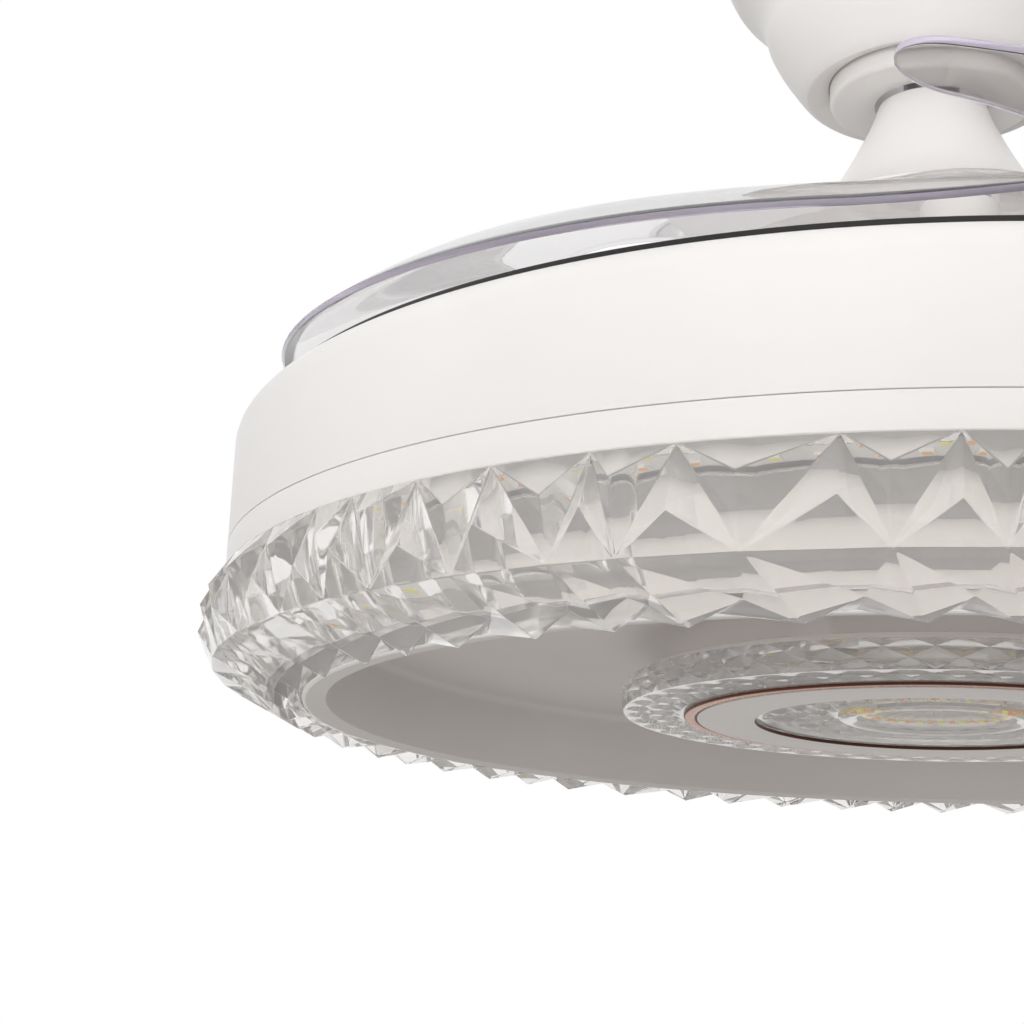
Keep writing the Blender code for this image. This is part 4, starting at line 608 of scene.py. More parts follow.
def crystal_skin():
    """Closed skin: flat facets outside, the smooth walls of the diodes' channel inside."""
    waists, following, corners = crystal_angles()
    count = len(waists)
    shape = bmesh.new()

    def row(angles, spots):
        return [new_point(shape, angle, *spots[index % len(spots)]) for index, angle in enumerate(angles)]

    tips = [start + (end - start) * TIP_SHIFT for start, end in zip(waists, following)]
    grooves = [(start + end) / 2 for start, end in zip(tips, tips[1:] + [tips[0] + FULL_TURN])]
    rim = row(waists, UPPER_EDGE)
    peak = row(corners, UPPER_EDGE)
    upper = row(waists, UPPER_POINTS)
    lower = row(corners, LOWER_POINTS)
    waist = row(waists, WAIST)
    tip = row(tips, TIP)
    groove = row(grooves, GROOVE)
    for index in range(count):
        after = (index + 1) % count
        for facet in (
            (rim[index], upper[index], peak[index]),
            (rim[after], peak[index], upper[after]),
            (peak[index], upper[index], waist[index]),
            (peak[index], waist[after], upper[after]),
            (peak[index], waist[index], lower[index]),
            (peak[index], lower[index], waist[after]),
            (lower[index], waist[index], waist[after]),
            (waist[index], groove[index], waist[after]),
            (waist[index], tip[index], groove[index]),
            (waist[after], groove[index], tip[after]),
        ):
            shape.faces.new(facet)

    fine = []
    for start, middle, end in zip(waists, corners, following):
        for first, last in ((start, middle), (middle, end)):
            fine += [first + (last - first) * part / INNER_PARTS for part in range(INNER_PARTS)]
    rows = []
    for radius, height in CHANNEL_OUTLINE:
        dip = LENS_DEPTH if LENS_WALL[0] < radius < LENS_WALL[1] else 0.0
        rows.append([])
        for index, angle in enumerate(fine):
            lens = math.sin(math.pi * (index % INNER_PARTS) / INNER_PARTS)
            rows[-1].append(new_point(shape, angle, radius - dip * lens, height))
    for wall in join_rows(shape, rows):
        wall.smooth = True
    for inner, corner_row, between_row in ((rows[0], tip, groove), (rows[-1], rim, peak)):
        for index in range(count):
            start = 2 * INNER_PARTS * index
            span = [inner[(start + step) % len(fine)] for step in range(2 * INNER_PARTS + 1)]
            first, second = span[:INNER_PARTS + 1], span[INNER_PARTS:]
            shape.faces.new([corner_row[index], between_row[index], *reversed(first)])
            shape.faces.new([between_row[index], corner_row[(index + 1) % count], *reversed(second)])
    bmesh.ops.recalc_face_normals(shape, faces=shape.faces)
    return shape


crystal_ring = mesh_piece("crystal_ring", crystal_skin(), crystal, smooth=False)
rounded_edges(crystal_ring, SOFT_EDGE, FACET_ANGLE).harden_normals = True
link(crystal_ring, "hanging_frame", "crystal", "crystal_ring")
print("Crystal ring:", SEGMENTS * len(POINT_SHARES), "points,", len(crystal_ring.data.polygons), "faces")

# %% [markdown]
# ## The outer light board and its diodes
#
# A narrow white ring board lies over the crystal's open channel. It carries small yellow and
# orange diodes in two staggered rows, warm and warmer, so that the light can be tuned. They
# are the common 2.8 by 3.5 mm kind and can be seen through the upper facets.

# %% Light board and diodes
OUTER_BOARD = (227.2, 243.2)
BOARD_FOOT = 0.8
BOARD_TOP = 2.4
DIODE_SIZE = (3.5, 2.8, 0.8)
GEL_SHARE = 0.74

board_outline = slab(*OUTER_BOARD, BOARD_FOOT, BOARD_TOP)
add_turned("outer_light_board", board_outline, board_lacquer, "light_board", soft=0.1 * MM)


def glow_finish(name, first, second):
    """Phosphor gel of a diode, unlit: grainy, and a little soft under its surface."""
    material = plain_finish(name, first, second, 0.38, 3000.0, 2e-5)
    put(material.node_tree.nodes["Principled BSDF"], Subsurface_Weight=0.2, Subsurface_Scale=0.6 * MM)
    return material


warm_gel = glow_finish("warm_gel", (0.93, 0.36, 0.03), (0.98, 0.44, 0.05))
cool_gel = glow_finish("cool_gel", (0.95, 0.78, 0.06), (0.99, 0.86, 0.12))
diode_case = plain_finish("diode_case", (0.80, 0.79, 0.76), (0.86, 0.85, 0.83), 0.40, 2000.0, 1e-5)


def add_block(shape, size, centre, angle, height, material_index, taper=0.85):
    """A block that hangs under a board and narrows a little downwards."""
    length, width, thick = (measure * MM for measure in size)
    rows = []
    for share, drop in ((1.0, 0.0), (taper, thick)):
        rows.append([])
        for along, across in ((-1, -1), (1, -1), (1, 1), (-1, 1)):
            spot = Vector((across * width * share / 2, along * length * share / 2, level(height * MM) - drop))
            spot.rotate(Matrix.Rotation(angle, 3, "Z"))
            rows[-1].append(shape.verts.new(centre + spot))
    for block_face in [shape.faces.new(rows[0]), shape.faces.new(rows[1]), *join_rows(shape, rows)]:
        block_face.material_index = material_index


def diode_field(name, rows, board_foot, count, gel_height=0.12):
    """Diodes under a board: each row is (radius, shift in pitches, colour of even, of odd)."""
    shape = bmesh.new()
    for radius, shift, even, odd in rows:
        for index in range(count):
            angle = FULL_TURN * (index + shift) / count
            centre = polar(radius * MM, angle)
            add_block(shape, DIODE_SIZE, centre, angle, board_foot, 0, 0.96)
            gel = (DIODE_SIZE[0] * GEL_SHARE, DIODE_SIZE[1] * GEL_SHARE, gel_height)
            add_block(shape, gel, centre, angle, board_foot - DIODE_SIZE[2], odd if index % 2 else even)
    bmesh.ops.recalc_face_normals(shape, faces=shape.faces)
    field = mesh_piece(name, shape, diode_case, smooth=False)
    field.data.materials.append(cool_gel)
    field.data.materials.append(warm_gel)
    return field


OUTER_DIODES = 122
OUTER_ROWS = ((231.6, 0.0, 1, 2), (238.2, 0.5, 2, 1))
outer_diodes = diode_field("outer_diodes", OUTER_ROWS, BOARD_FOOT, OUTER_DIODES)
link(outer_diodes, "hanging_frame", "light_board")
print("Outer board: two rows of", OUTER_DIODES, "diodes")

# %% [markdown]
# ## The small disc: back plate, crystal rim and trims
#
# A clear ring with a finely cut rim hangs under a back plate painted a greyer white, which is
# painted shade. Two rows of little pyramids, one set between the other, run round its rim, and
# scallops are pressed into its underside near the edge. A matt white ring, painted the same
# greyer white as painted shade, and a thin rose-copper ring cover its middle; their steep sides
# mirror the dark gap beside them, which is painted on them in the shaded copper as painted shade.

# %% Small disc
DISC_RADIUS = 110.5
DISC_TOP = -23.0
DISC_FOOT = -33.1
DISC_BORE = 64.0
DISC_CUTS = 44
CUT_DEPTH = 3.0
CUT_LEVELS = (-26.2, -29.6)
CUT_PARTS = 8
UNDERSIDE_RINGS = 20
SCALLOPS = ((99.5, 108.5, 0.0), (90.0, 102.5, 0.5))
SCALLOP_DEPTH = 1.3
PETAL_ARCH = 0.85
PETAL_FULLNESS = 0.7
WHITE_BORE = 63.2
COPPER_BAND = (84.3, 87.7)

# Painted shade: the back plate gets the greyer trim white.
add_turned("disc_back_plate", slab(7.5, 104.0, -22.7, -20.5), trim_painted_shade, "white_paint")


def petal_height(radius, angle, petals, rows, depth):
    """Height pressed into a clear face: rows of overlapping petals, each (inner, outer, shift)."""
    rise = 0.0
    for first, last, shift in rows:
        across = (angle / FULL_TURN * petals + shift) % 1.0 * 2 - 1
        share = (radius - first) / (last - first)
        arch = 1 - across ** 2 * PETAL_ARCH
        if 0.0 < share < arch:
            rise = max(rise, depth * math.sin(math.pi * share / arch) ** PETAL_FULLNESS)
    return rise


def cut_disc_skin():
    """Ring with two rows of pyramids round its rim and scallops pressed into its underside."""
    shape = bmesh.new()
    half = CUT_PARTS // 2
    fine, coarse = DISC_CUTS * CUT_PARTS, DISC_CUTS * 2

    def row(count, measure):
        return [new_point(shape, FULL_TURN * index / count, *measure(index)) for index in range(count)]

    def pressed(radius, index):
        angle = FULL_TURN * index / fine
        return radius, DISC_FOOT + petal_height(radius, angle, DISC_CUTS, SCALLOPS, SCALLOP_DEPTH)

    top = row(fine, lambda index: (DISC_RADIUS - 2.0, DISC_TOP))
    upper = row(coarse, lambda index: (DISC_RADIUS - CUT_DEPTH * (index % 2), CUT_LEVELS[0]))
    lower = row(coarse, lambda index: (DISC_RADIUS - CUT_DEPTH * (1 - index % 2), CUT_LEVELS[1]))
    foot = row(fine, lambda index: (DISC_RADIUS - 1.0, DISC_FOOT))
    for index in range(coarse):
        after, even = (index + 1) % coarse, index % 2 == 0
        fan = [(index * half + part) % fine for part in range(half + 1)]
        high, low = (index, after) if even else (after, index)
        for one, two in zip(fan, fan[1:]):
            shape.faces.new((top[one], top[two], upper[high]))
            shape.faces.new((foot[one], foot[two], lower[low]))
        edge = fan[-1] if even else fan[0]
        shape.faces.new((top[edge], upper[low], upper[high]))
        edge = fan[0] if even else fan[-1]
        shape.faces.new((foot[edge], lower[high], lower[low]))
        shape.faces.new((upper[high], upper[low], lower[low]))
        shape.faces.new((upper[high], lower[low], lower[high]))
    rows = [foot]
    for radius in [DISC_RADIUS - 2.0 - ring for ring in range(UNDERSIDE_RINGS)] + [DISC_BORE]:
        rows.append(row(fine, lambda index, radius=radius: pressed(radius, index)))
    join_rows(shape, rows + [row(fine, lambda index: (DISC_BORE, DISC_TOP)), top])
    bmesh.ops.recalc_face_normals(shape, faces=shape.faces)
    return shape


crystal_disc = mesh_piece("crystal_disc", cut_disc_skin(), disc_clear, smooth=False)
link(crystal_disc, "hanging_frame", "crystal", "crystal_disc")

# Painted shade: the white ring gets the greyer trim white.
white_ring = turned("white_ring", slab(63.0, 83.5, -34.6, -33.4), trim_painted_shade, soft=0.25 * MM)
# Painted reflection: the white ring's bore edge gets the dark shaded copper for the dark gap it mirrors.
second_finish(white_ring, copper_shade, lambda side: side.center.xy.length < WHITE_BORE * MM)
link(white_ring, "hanging_frame", "white_paint", "white_ring")

copper_outline = [
    (83.8, -34.1), (84.4, -34.3), (86.0, -34.3), (87.6, -34.3), (88.2, -34.0), (88.2, -33.4), (83.8, -33.4),
]
copper_ring = turned("copper_ring", copper_outline, copper, soft=0.15 * MM)
# Painted shade: the copper ring's steep sides, outside the flat band, get the dark shaded copper.
second_finish(
    copper_ring, copper_shade,
    lambda side: not COPPER_BAND[0] * MM <= side.center.xy.length <= COPPER_BAND[1] * MM
)
link(copper_ring, "hanging_frame", "copper", "copper_ring")
print("Small disc:", DISC_CUTS, "cells round its rim,", f"{FULL_TURN * DISC_RADIUS / DISC_CUTS:.1f} mm apart")

# %% [markdown]
# ## The lit centre of the small disc
#
# A ring of diodes, yellow and orange in turn, sits close together on a small board painted grey,
# which is painted shade, and their gel stands in the back of the clear moulded centre that
# covers them. Its face has soft petals pressed into it like a lotus, a raised rounded ring under
# the diodes, and a hollowed middle: a flat one would mirror the bright surroundings to a low eye
# as one white spot.

# %% Centre crystal and inner board
INNER_BOARD = (7.8, 60.0)
INNER_BOARD_FOOT = -24.6
INNER_BOARD_TOP = -23.0
CENTRE_FACE = -31.3
CENTRE_EDGE = 63.7
HUB_RING = (27.2, 34.2)
PETALS = 20
PETAL_ROWS = ((36.5, 47.0, 0.0), (42.5, 53.5, 0.5), (49.0, 59.3, 0.0))
PETAL_DEPTH = 1.5
LENS_RADIUS = 25.0
LENS_RISE = 3.0
LENS_WAVES = 0.12
HUB_RING_HEIGHT = 2.2
CENTRE_BACK = -24.9
FLANGE_FOOT = -33.1
FLANGE_EDGE = 0.3
FACE_RADIUS = 59.6
FACE_RINGS = (0.6, 39)
LENS_RINGS = (1.25, 19)
CENTRE_STEPS = 320

inner_outline = slab(*INNER_BOARD, INNER_BOARD_FOOT, INNER_BOARD_TOP)
# Painted shade: the inner board's grey stands for the shade in the middle of the disc.
add_turned("inner_light_board", inner_outline, inner_board_painted_shade, "light_board", soft=0.1 * MM)


def centre_skin():
    """Closed clear body: flange, petals, raised ring and a hollowed middle."""
    shape = bmesh.new()
    profile = [(FACE_RADIUS - FACE_RINGS[0] * ring, CENTRE_FACE) for ring in range(FACE_RINGS[1])]
    profile += [(35.6, CENTRE_FACE), (34.6, CENTRE_FACE)]
    hub_middle = (HUB_RING[0] + HUB_RING[1]) / 2
    hub_half = (HUB_RING[1] - HUB_RING[0]) / 2
    for step in range(9):
        swing = math.pi * step / 8
        drop = HUB_RING_HEIGHT * math.sin(swing) ** 0.6
        profile.append((hub_middle + hub_half * math.cos(swing), CENTRE_FACE - drop))
    profile.append((26.4, CENTRE_FACE))
    profile += [(LENS_RADIUS - LENS_RINGS[0] * ring, CENTRE_FACE) for ring in range(LENS_RINGS[1])]
    flange = [
        (CENTRE_EDGE, CENTRE_BACK),
        (CENTRE_EDGE, FLANGE_FOOT + FLANGE_EDGE), (CENTRE_EDGE - FLANGE_EDGE, FLANGE_FOOT),
        (60.5, FLANGE_FOOT), (60.2, FLANGE_FOOT + FLANGE_EDGE),
    ]
    rows = []
    for radius, height in flange + profile:
        rows.append([])
        for index in range(CENTRE_STEPS):
            angle = FULL_TURN * index / CENTRE_STEPS
            rise = 0.0
            if height == CENTRE_FACE:
                rise = petal_height(radius, angle, PETALS, PETAL_ROWS, PETAL_DEPTH)
                hollow = max(0.0, 1 - (radius / LENS_RADIUS) ** 2)
                rise += LENS_RISE * hollow * (1 + LENS_WAVES * math.cos(PETALS * angle))
            rows[-1].append(new_point(shape, angle, radius, height + rise))
    join_rows(shape, rows)
    for row, height in ((rows[0], CENTRE_BACK), (rows[-1], CENTRE_FACE + LENS_RISE)):
        middle = new_point(shape, 0.0, 0.0, height)
        for index in range(CENTRE_STEPS):
            shape.faces.new((row[index], row[(index + 1) % CENTRE_STEPS], middle))
    bmesh.ops.recalc_face_normals(shape, faces=shape.faces)
    return shape


centre_crystal = mesh_piece("centre_crystal", centre_skin(), disc_clear)
link(centre_crystal, "hanging_frame", "crystal", "centre_crystal")

INNER_DIODES = 42
INNER_ROW = ((26.0, 0.0, 1, 2),)
INNER_GEL = 1.4
inner_diodes = diode_field("inner_diodes", INNER_ROW, INNER_BOARD_FOOT, INNER_DIODES, INNER_GEL)
link(inner_diodes, "hanging_frame", "light_board")
print("Inner board:", INNER_DIODES, "diodes, yellow and orange in turn")

# %% [markdown]
# ## The folded blades
#
# Three clear blades lie over the drum, one after another round it. Each begins low at its
# pivot and climbs like a ramp, so its tip passes over the root of the next. Across its width
# the sheet leans inward and is cambered, which is what moves the air once it has swung out.
#
# A blade is moulded in one thickness. The sheet is laid out here in rows along its length and
# given that thickness; the narrow faces all round get the violet edge finish, because a clear
# sheet gathers its colour where one looks along it, and their rounded corners a darker line,
# which is painted shade.

# %% Blades
BLADES = 3
BLADE_OUTER = 236.0
BLADE_WIDTH = 97.0
BLADE_THICK = 2.0
BLADE_ARC = math.radians(135)
BLADE_FLAT_ARC = math.radians(17.5)
BLADE_ROOT_ARC = math.radians(16)
BLADE_TIP_ARC = math.radians(55)
BLADE_NOSE_ARC = math.radians(3.7)
BLADE_FLATTEN_START = math.radians(85)
BLADE_FLATTEN_ARC = math.radians(41)
BLADE_TIP_WIDTH = 30.0
BLADE_TIP_GROWTH = 0.20
BLADE_ROOT = 185.0
EDGE_START = 64.8
EDGE_CLIMB = 45.6
LATE_CLIMB = 0.53
BLADE_SLOPE = 0.71
SLOPE_GAIN = 0.14
TIP_SLOPE = 0.06
BLADE_CAMBER = 230.0
TIP_FLATNESS = 0.8
PIVOT_CIRCLE = 170.0
PIVOT_ARC = math.radians(10)
PIVOT_START = math.radians(-87.5)
PAD_FLAT = 18.0
PAD_BLEND = 18.0
PAD_HEIGHT = 90.5
BLADE_LINES = 90
BLADE_ROWS = 24
FIRST_LINE = 0.0016
LINE_SPAN = 0.9981
LINE_CROWDING = 0.8


def smooth_step(share):
    share = min(max(share, 0.0), 1.0)
    return share * share * (3 - 2 * share)


def blade_edges(arc):
    """Radii of the outer and the inner edge: full width, a narrowing tip and a round root."""
    tip_share = min((BLADE_ARC - arc) / BLADE_TIP_ARC, 1.0)
    growth = BLADE_TIP_GROWTH * tip_share * (1 - tip_share) ** 2 + smooth_step(tip_share)
    width = BLADE_TIP_WIDTH + (BLADE_WIDTH - BLADE_TIP_WIDTH) * growth
    nose_share = min((BLADE_ARC - arc) / BLADE_NOSE_ARC, 1.0)
    trim = width / 2 * (1 - math.sqrt(1 - (1 - nose_share) ** 2))
    outer, inner = BLADE_OUTER - trim, BLADE_OUTER - width + trim
    if arc < BLADE_ROOT_ARC:
        rounding = math.sqrt(1 - (1 - arc / BLADE_ROOT_ARC) ** 2)
        outer = BLADE_ROOT + (outer - BLADE_ROOT) * rounding
        inner = BLADE_ROOT + (inner - BLADE_ROOT) * rounding
    return outer, inner


def blade_height(radius, arc):
    """The sheet's middle: its outer edge climbs to the tip, and it rises inward in a camber."""
    share = max(0.0, (arc - BLADE_FLAT_ARC) / (BLADE_ARC - BLADE_FLAT_ARC))
    edge = EDGE_START + EDGE_CLIMB * ((1 - LATE_CLIMB) * share + LATE_CLIMB * share ** 3)
    flatness = smooth_step((arc - BLADE_FLATTEN_START) / BLADE_FLATTEN_ARC)
    slope = BLADE_SLOPE + SLOPE_GAIN * smooth_step(2 * share)
    slope += (TIP_SLOPE - slope) * flatness
    inward = BLADE_OUTER - radius
    return edge + slope * inward - inward ** 2 / BLADE_CAMBER * (1 - TIP_FLATNESS * flatness)


def blade_spot(radius, arc, pivot_angle):
    """Scene point of the folded blade; round the pivot it is levelled into a flat pad."""
    point = polar(radius, PIVOT_ARC - arc) - Vector((PIVOT_CIRCLE, 0.0, 0.0))
    flat = 1 - smooth_step((point.length - PAD_FLAT) / PAD_BLEND)
    height = blade_height(radius, arc)
    height += (PAD_HEIGHT - height) * flat
    point.rotate(Matrix.Rotation(pivot_angle, 3, "Z"))
    point += polar(PIVOT_CIRCLE, pivot_angle)
    return Vector((point.x * MM, point.y * MM, level(height * MM)))


def blade_sheet(pivot_angle):
    """Rows along the blade, closer together near its two ends where the outline bends most."""
    shape = bmesh.new()
    grid = []
    for line in range(BLADE_LINES + 1):
        share = line / BLADE_LINES
        crowded = share - LINE_CROWDING * math.sin(FULL_TURN * share) / FULL_TURN
        arc = BLADE_ARC * (FIRST_LINE + LINE_SPAN * crowded)
        outer, inner = blade_edges(arc)
        grid.append([])
        for row in range(BLADE_ROWS + 1):
            radius = outer + (inner - outer) * row / BLADE_ROWS
            grid[-1].append(shape.verts.new(blade_spot(radius, arc, pivot_angle)))
    for line, following in zip(grid, grid[1:]):
        for row in range(BLADE_ROWS):
            shape.faces.new((line[row], line[row + 1], following[row + 1], following[row]))
    bmesh.ops.recalc_face_normals(shape, faces=shape.faces)
    return shape


for number in range(1, BLADES + 1):
    pivot_angle = PIVOT_START + FULL_TURN * (number - 1) / BLADES
    blade = mesh_piece(f"blade_{number}", blade_sheet(pivot_angle), blade_clear)
    blade.data.materials.append(blade_edge)
    blade.data.materials.append(blade_line)
    sheet = blade.modifiers.new("sheet", "SOLIDIFY")
    sheet.thickness = BLADE_THICK * MM
    sheet.offset = 0.0
    sheet.material_offset_rim = 1
    # Painted shade: the bevel on the corners gets the dark line finish.
    rounded_edges(blade, 0.4 * MM, math.radians(50)).material = 2
    link(blade, f"blade_arm_{number}", "blade_plastic", f"blade_{number}")
print("Blades:", BLADES, "of", BLADE_THICK, "mm sheet, pads at", PAD_HEIGHT, "mm")

# %% [markdown]
# ## Hubs and pivot pins
#
# Each blade is clamped on a white moulded hub that turns on a steel pin. The return spring is
# coiled out of sight in the hub's cup, and stays as the exact model has it.

# %% Hubs and pins
CARRIER_FOOT = 59.5
CARRIER_TOP = 62.0
HUB_RADIUS = 12.5
HUB_TAPER = 1.5
PIN_RADIUS = 4.0
PIN_HEAD = (9.0, 3.0)
PIN_FOOT = (6.5, 1.2)
PLAY = 0.3
HUB_WALL = 2.5
SPRING_CUP = 10.0

hub_foot = CARRIER_TOP + PLAY
cup_top = hub_foot + SPRING_CUP
hub_top = PAD_HEIGHT - BLADE_THICK / 2 - PLAY
hub_outline = [
    (HUB_RADIUS - HUB_TAPER, hub_top), (HUB_RADIUS, cup_top), (HUB_RADIUS, hub_foot),
    (HUB_RADIUS - HUB_WALL, hub_foot), (HUB_RADIUS - HUB_WALL, cup_top),
    (PIN_RADIUS + PLAY, cup_top), (PIN_RADIUS + PLAY, hub_top),
]
head_foot = PAD_HEIGHT + BLADE_THICK / 2 + PLAY
pin_foot = CARRIER_FOOT - PLAY
pin_outline = [
    (0.0, head_foot + PIN_HEAD[1]), (PIN_HEAD[0] - 1.5, head_foot + PIN_HEAD[1]),
    (PIN_HEAD[0], head_foot + PIN_HEAD[1] / 2), (PIN_HEAD[0], head_foot), (PIN_RADIUS, head_foot),
    (PIN_RADIUS, pin_foot), (PIN_FOOT[0], pin_foot), (PIN_FOOT[0], pin_foot - PIN_FOOT[1]),
    (0.0, pin_foot - PIN_FOOT[1]),
]
for number in range(1, BLADES + 1):
    spot = polar(PIVOT_CIRCLE * MM, PIVOT_START + FULL_TURN * (number - 1) / BLADES)
    round_here = {"steps": SMALL_ROUND_STEPS, "centre": spot.xy}
    body = f"blade_arm_{number}"
    add_turned(f"blade_hub_{number}", hub_outline, white_plastic, "white_plastic", body, **round_here)
    add_turned(f"pivot_pin_{number}", pin_outline, steel, "steel", "rotor", **round_here)
print(f"Pins from {pin_foot - PIN_FOOT[1]:.1f} to {head_foot + PIN_HEAD[1]:.1f} mm over the rim")

# %% [markdown]
# ## Rotor cover, stem cover and canopy
#
# Above the drum a white dome hides the motor. A trumpet-shaped cover widens down over its open
# top, and the bell-shaped canopy meets the ceiling. All three are spun shapes whose outline
# bends evenly, so a soft line is laid through a few measured points.

# %% Dome, neck and canopy
COVER_RADIUS = 102.0
COVER_TOP = 147.0
COVER_CROWN = 47.0
COVER_MOUTH = 40.0
COVER_SKIRT = 80.0
COVER_WALL = 2.0
NECK_WALL = 2.0
CANOPY_WALL = 1.5


def soft_line(points, parts=6):
    """Even curve through points, by the Catmull-Rom rule."""

    def between_two(before, start, end, after, t):
        bend = 2 * before - 5 * start + 4 * end - after
        twist = 3 * start - before - 3 * end + after
        return 0.5 * (2 * start + (end - before) * t + bend * t * t + twist * t ** 3)

    line = []
    padded = [points[0], *points, points[-1]]
    for four in zip(padded, padded[1:], padded[2:], padded[3:]):
        for part in range(parts):
            line.append(tuple(between_two(*values, part / parts) for values in zip(*four)))
    return line + [points[-1]]


def sheet_of(line, wall):
    """Closed outline of a sheet: the line itself and its copy one wall further in and down."""
    inner = []
    for index, point in enumerate(line):
        before = Vector(line[max(index - 1, 0)])
        after = Vector(line[min(index + 1, len(line) - 1)])
        along = (after - before).normalized()
        inner.append((point[0] + along.y * wall, point[1] - along.x * wall))
    return line + inner[::-1]


def dome_line():
    line = []
    for step in range(25):
        swing = math.pi / 2 * step / 24
        line.append((
            COVER_MOUTH + (COVER_RADIUS - COVER_MOUTH) * math.sin(swing),
            COVER_TOP - COVER_CROWN * (1 - math.cos(swing)),
        ))
    return line + [(COVER_RADIUS, COVER_SKIRT), (COVER_RADIUS, CARRIER_TOP + PLAY)]


add_turned("rotor_cover", sheet_of(dome_line(), COVER_WALL), white_plastic, "white_plastic", "rotor")

neck_points = [
    (20.0, 199.6), (21.9, 194.0), (25.1, 186.5), (33.3, 170.9), (39.5, 162.0), (47.7, 154.8), (56.0, 150.3),
]
neck_outline = sheet_of(soft_line(neck_points), NECK_WALL)
add_turned("neck_cover", neck_outline, white_paint, "white_paint", steps=128)

canopy_points = [
    (80.0, 274.7), (80.0, 259.1), (75.5, 249.4), (70.0, 243.2), (65.3, 237.5),
    (63.0, 232.9), (61.2, 227.0), (57.2, 219.3), (52.9, 212.8), (49.1, 207.6), (46.6, 205.5),
]
canopy_lip = [(45.6, 205.5), (42.0, 206.9), (38.5, 208.7)]
canopy_line = [canopy_points[0], *soft_line(canopy_points[1:]), *canopy_lip]
canopy_outline = sheet_of(canopy_line, CANOPY_WALL)
add_turned("canopy", canopy_outline, white_paint, "white_paint", "ceiling_mount", steps=160)

CAP_BODY = 38.2
CAP_FACE = 201.2
CAP_HOLE = 21.2
CAP_TOP = 212.6
CAP_FLANGE = 3.8
CAP_ROUND = 2.0
CAP_WALL = 1.8
CAP_CHAMFER = 1.5
cap_outline = [
    (CAP_BODY + CAP_FLANGE, CAP_TOP),
    (CAP_BODY + CAP_FLANGE, CAP_TOP - CAP_WALL),
    (CAP_BODY, CAP_TOP - CAP_WALL),
    *arc((CAP_BODY - CAP_ROUND, CAP_FACE + CAP_ROUND), CAP_ROUND, 0.0, -math.pi / 2, 8),
    (CAP_HOLE, CAP_FACE),
    (CAP_HOLE + CAP_CHAMFER, CAP_FACE + CAP_WALL),
    (CAP_BODY - CAP_WALL, CAP_FACE + CAP_WALL),
    (CAP_BODY - CAP_WALL, CAP_TOP),
]
add_turned("canopy_cap", cap_outline, white_paint, "white_paint", "ceiling_mount", steps=128, soft=0.2 * MM)
print("Stem cover and canopy, widest", 2 * canopy_points[0][0], "mm at the ceiling")

# %% [markdown]
# ## Parts that stay as the exact model has them
#
# What is hidden under the dome and in the canopy needs no finer shape: the bracket, ball, rod,
# motor, plates and boxes keep the exact model's own parts. Each gets the finish of its slot, so
# that it looks right from above, from behind, or with the blades swung out.

# %% Finishes of the kept parts
FINISH_OF_SLOT = {
    "white_paint": white_paint, "white_plastic": white_plastic, "black_plastic": black_plastic,
    "dark_plastic": dark_plastic, "steel": steel, "magnet": magnet_face, "copper": copper,
    "light_board": board_lacquer, "crystal": crystal, "blade_plastic": blade_clear,
}
kept = 0
for name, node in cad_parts.items():
    if node.hide_render:
        continue
    for material_slot in node.material_slots:
        slot_name = material_slot.material.name.split(".")[0] if material_slot.material else ""
        finish = laminations if name == "stator" else FINISH_OF_SLOT.get(slot_name)
        if finish:
            material_slot.link = "OBJECT"
            material_slot.material = finish
            kept += 1
        else:
            print("No finish for", name, slot_name)
print("Kept parts with a finish of their own:", kept)

# %% [markdown]
# ## Light, floor and background
#
# The photograph is a plain product picture: white all round and soft light from most sides. The
# white is only seen, directly or through and in the clear pieces; the light itself is dimmer and
# comes more from above than from below. What keeps crystal and blades from vanishing into white
# is what else they show: the fan's own pieces, and a pale grey floor far below.
#
# The front lamp stands high to the left and the side lamp right. A low lamp lights the crystal's
# lower facets and the recess, a narrow one reaches the canopy between blades and ceiling, and a
# faint one in the gap over the small disc stands for the light that the gap gathers.

# %% World, lamps and floor
FLOOR_LEVEL = level(-1.25)
FLOOR_REACH = 6.0
LAMPS = (
    ("front_lamp", (-0.9, -1.6, 0.7), (0.0, -0.1, 0.0), 1.1, 4.9),
    ("low_lamp", (-0.3, -1.5, -0.55), (0.0, 0.0, 0.0), 0.9, 2.6),
    ("canopy_lamp", (-0.3, -1.4, 0.0), (0.0, 0.0, 0.40), 0.5, 0.38),
    ("gap_lamp", (0.0, 0.0, -0.0185), (0.0, 0.0, 1.0), 0.19, 0.03),
    ("side_lamp", (1.5, -0.9, 0.2), (0.0, 0.0, 0.0), 0.9, 3.3),
)
CANOPY_LAMP_SPREAD = math.radians(30)

bpy.context.scene.view_settings.view_transform = "Standard"
world = bpy.data.worlds.new("studio")
bpy.context.scene.world = world
world.use_nodes = True
nodes, links = world.node_tree.nodes, world.node_tree.links
soft_light = nodes["Background"]
soft_light.name = "soft light"
view_direction = nodes.new("ShaderNodeTexCoord")
split = nodes.new("ShaderNodeSeparateXYZ")
links.new(view_direction.outputs["Generated"], split.inputs["Vector"])
rise = nodes.new("ShaderNodeMapRange")
put(rise, From_Min=-1.0, From_Max=1.0)
links.new(split.outputs["Z"], rise.inputs["Value"])
sky = tones(world, rise.outputs["Result"], (0.34, 0.33, 0.325), (0.98, 0.975, 0.97), 0.30, 0.75)
links.new(sky, soft_light.inputs["Color"])
put(soft_light, Strength=0.85)

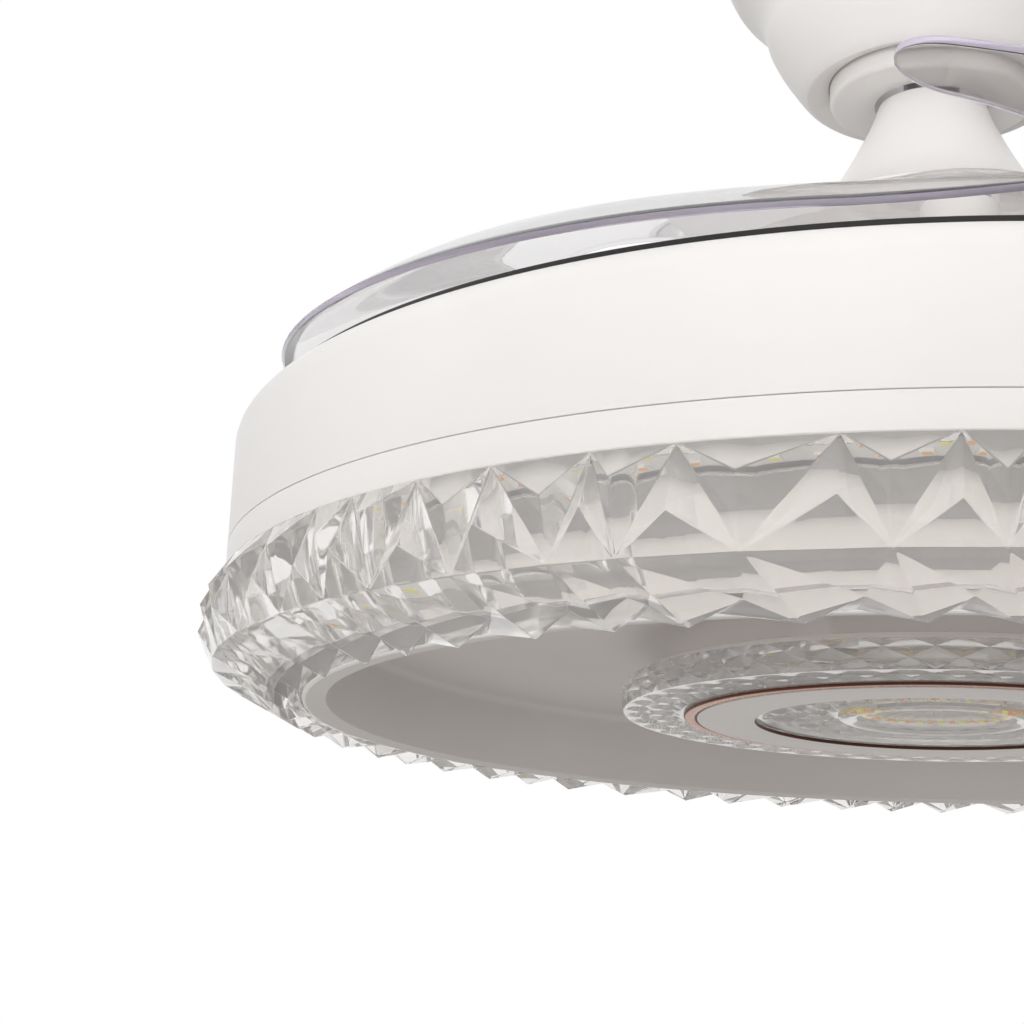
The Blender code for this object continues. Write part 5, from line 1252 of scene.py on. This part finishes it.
white = nodes.new("ShaderNodeBackground")
put(white, Color=(1.0, 1.0, 1.0, 1.0), Strength=1.0)
path = nodes.new("ShaderNodeLightPath")
through = either(world.node_tree, path.outputs["Is Transmission Ray"], path.outputs["Is Glossy Ray"])
seen = either(world.node_tree, path.outputs["Is Camera Ray"], through)
backdrop = mixed(world.node_tree, seen, soft_light.outputs["Background"], white.outputs["Background"])
links.new(backdrop, nodes["World Output"].inputs["Surface"])


def soft_lamp(name, place, aim, size, power):
    """A soft round lamp at a place, turned to its aim, both in metres from the rim; never seen itself."""
    data = bpy.data.lights.new(name, "AREA")
    data.shape = "DISK"
    data.size = size
    data.energy = power
    lamp = bpy.data.objects.new(name, data)
    bpy.context.scene.collection.objects.link(lamp)
    lamp.location = (place[0], place[1], level(place[2]))
    toward = Vector(aim) - Vector(place)
    lamp.rotation_euler = toward.to_track_quat("-Z", "Y").to_euler()
    lamp.visible_camera = lamp.visible_glossy = lamp.visible_transmission = False


for lamp_values in LAMPS:
    soft_lamp(*lamp_values)
bpy.data.lights["canopy_lamp"].spread = CANOPY_LAMP_SPREAD

corners = ((-1, -1), (1, -1), (1, 1), (-1, 1))
floor_corners = [(FLOOR_REACH * x, FLOOR_REACH * y, FLOOR_LEVEL) for x, y in corners]
floor_mesh = bpy.data.meshes.new("floor")
floor_mesh.from_pydata(floor_corners, [], [(0, 1, 2, 3)])
floor_paper = plain_finish("floor_paper", (0.60, 0.59, 0.58), (0.62, 0.61, 0.60), 0.7, 40, 1e-4)
floor_mesh.materials.append(floor_paper)
floor = bpy.data.objects.new("floor", floor_mesh)
bpy.context.scene.collection.objects.link(floor)
floor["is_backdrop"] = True

# %% [markdown]
# ## Sizes of the two models
#
# The visual model may not grow past the exact one. Both sizes are written down side by side.

# %% Sizes and finish
visual_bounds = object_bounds()
for name, bounds in (("exact model", cad_bounds), ("visual model", visual_bounds)):
    low, high = (Vector(corner) for corner in bounds)
    print(name, [f"{(high[axis] - low[axis]) / MM:.1f} mm" for axis in range(3)])
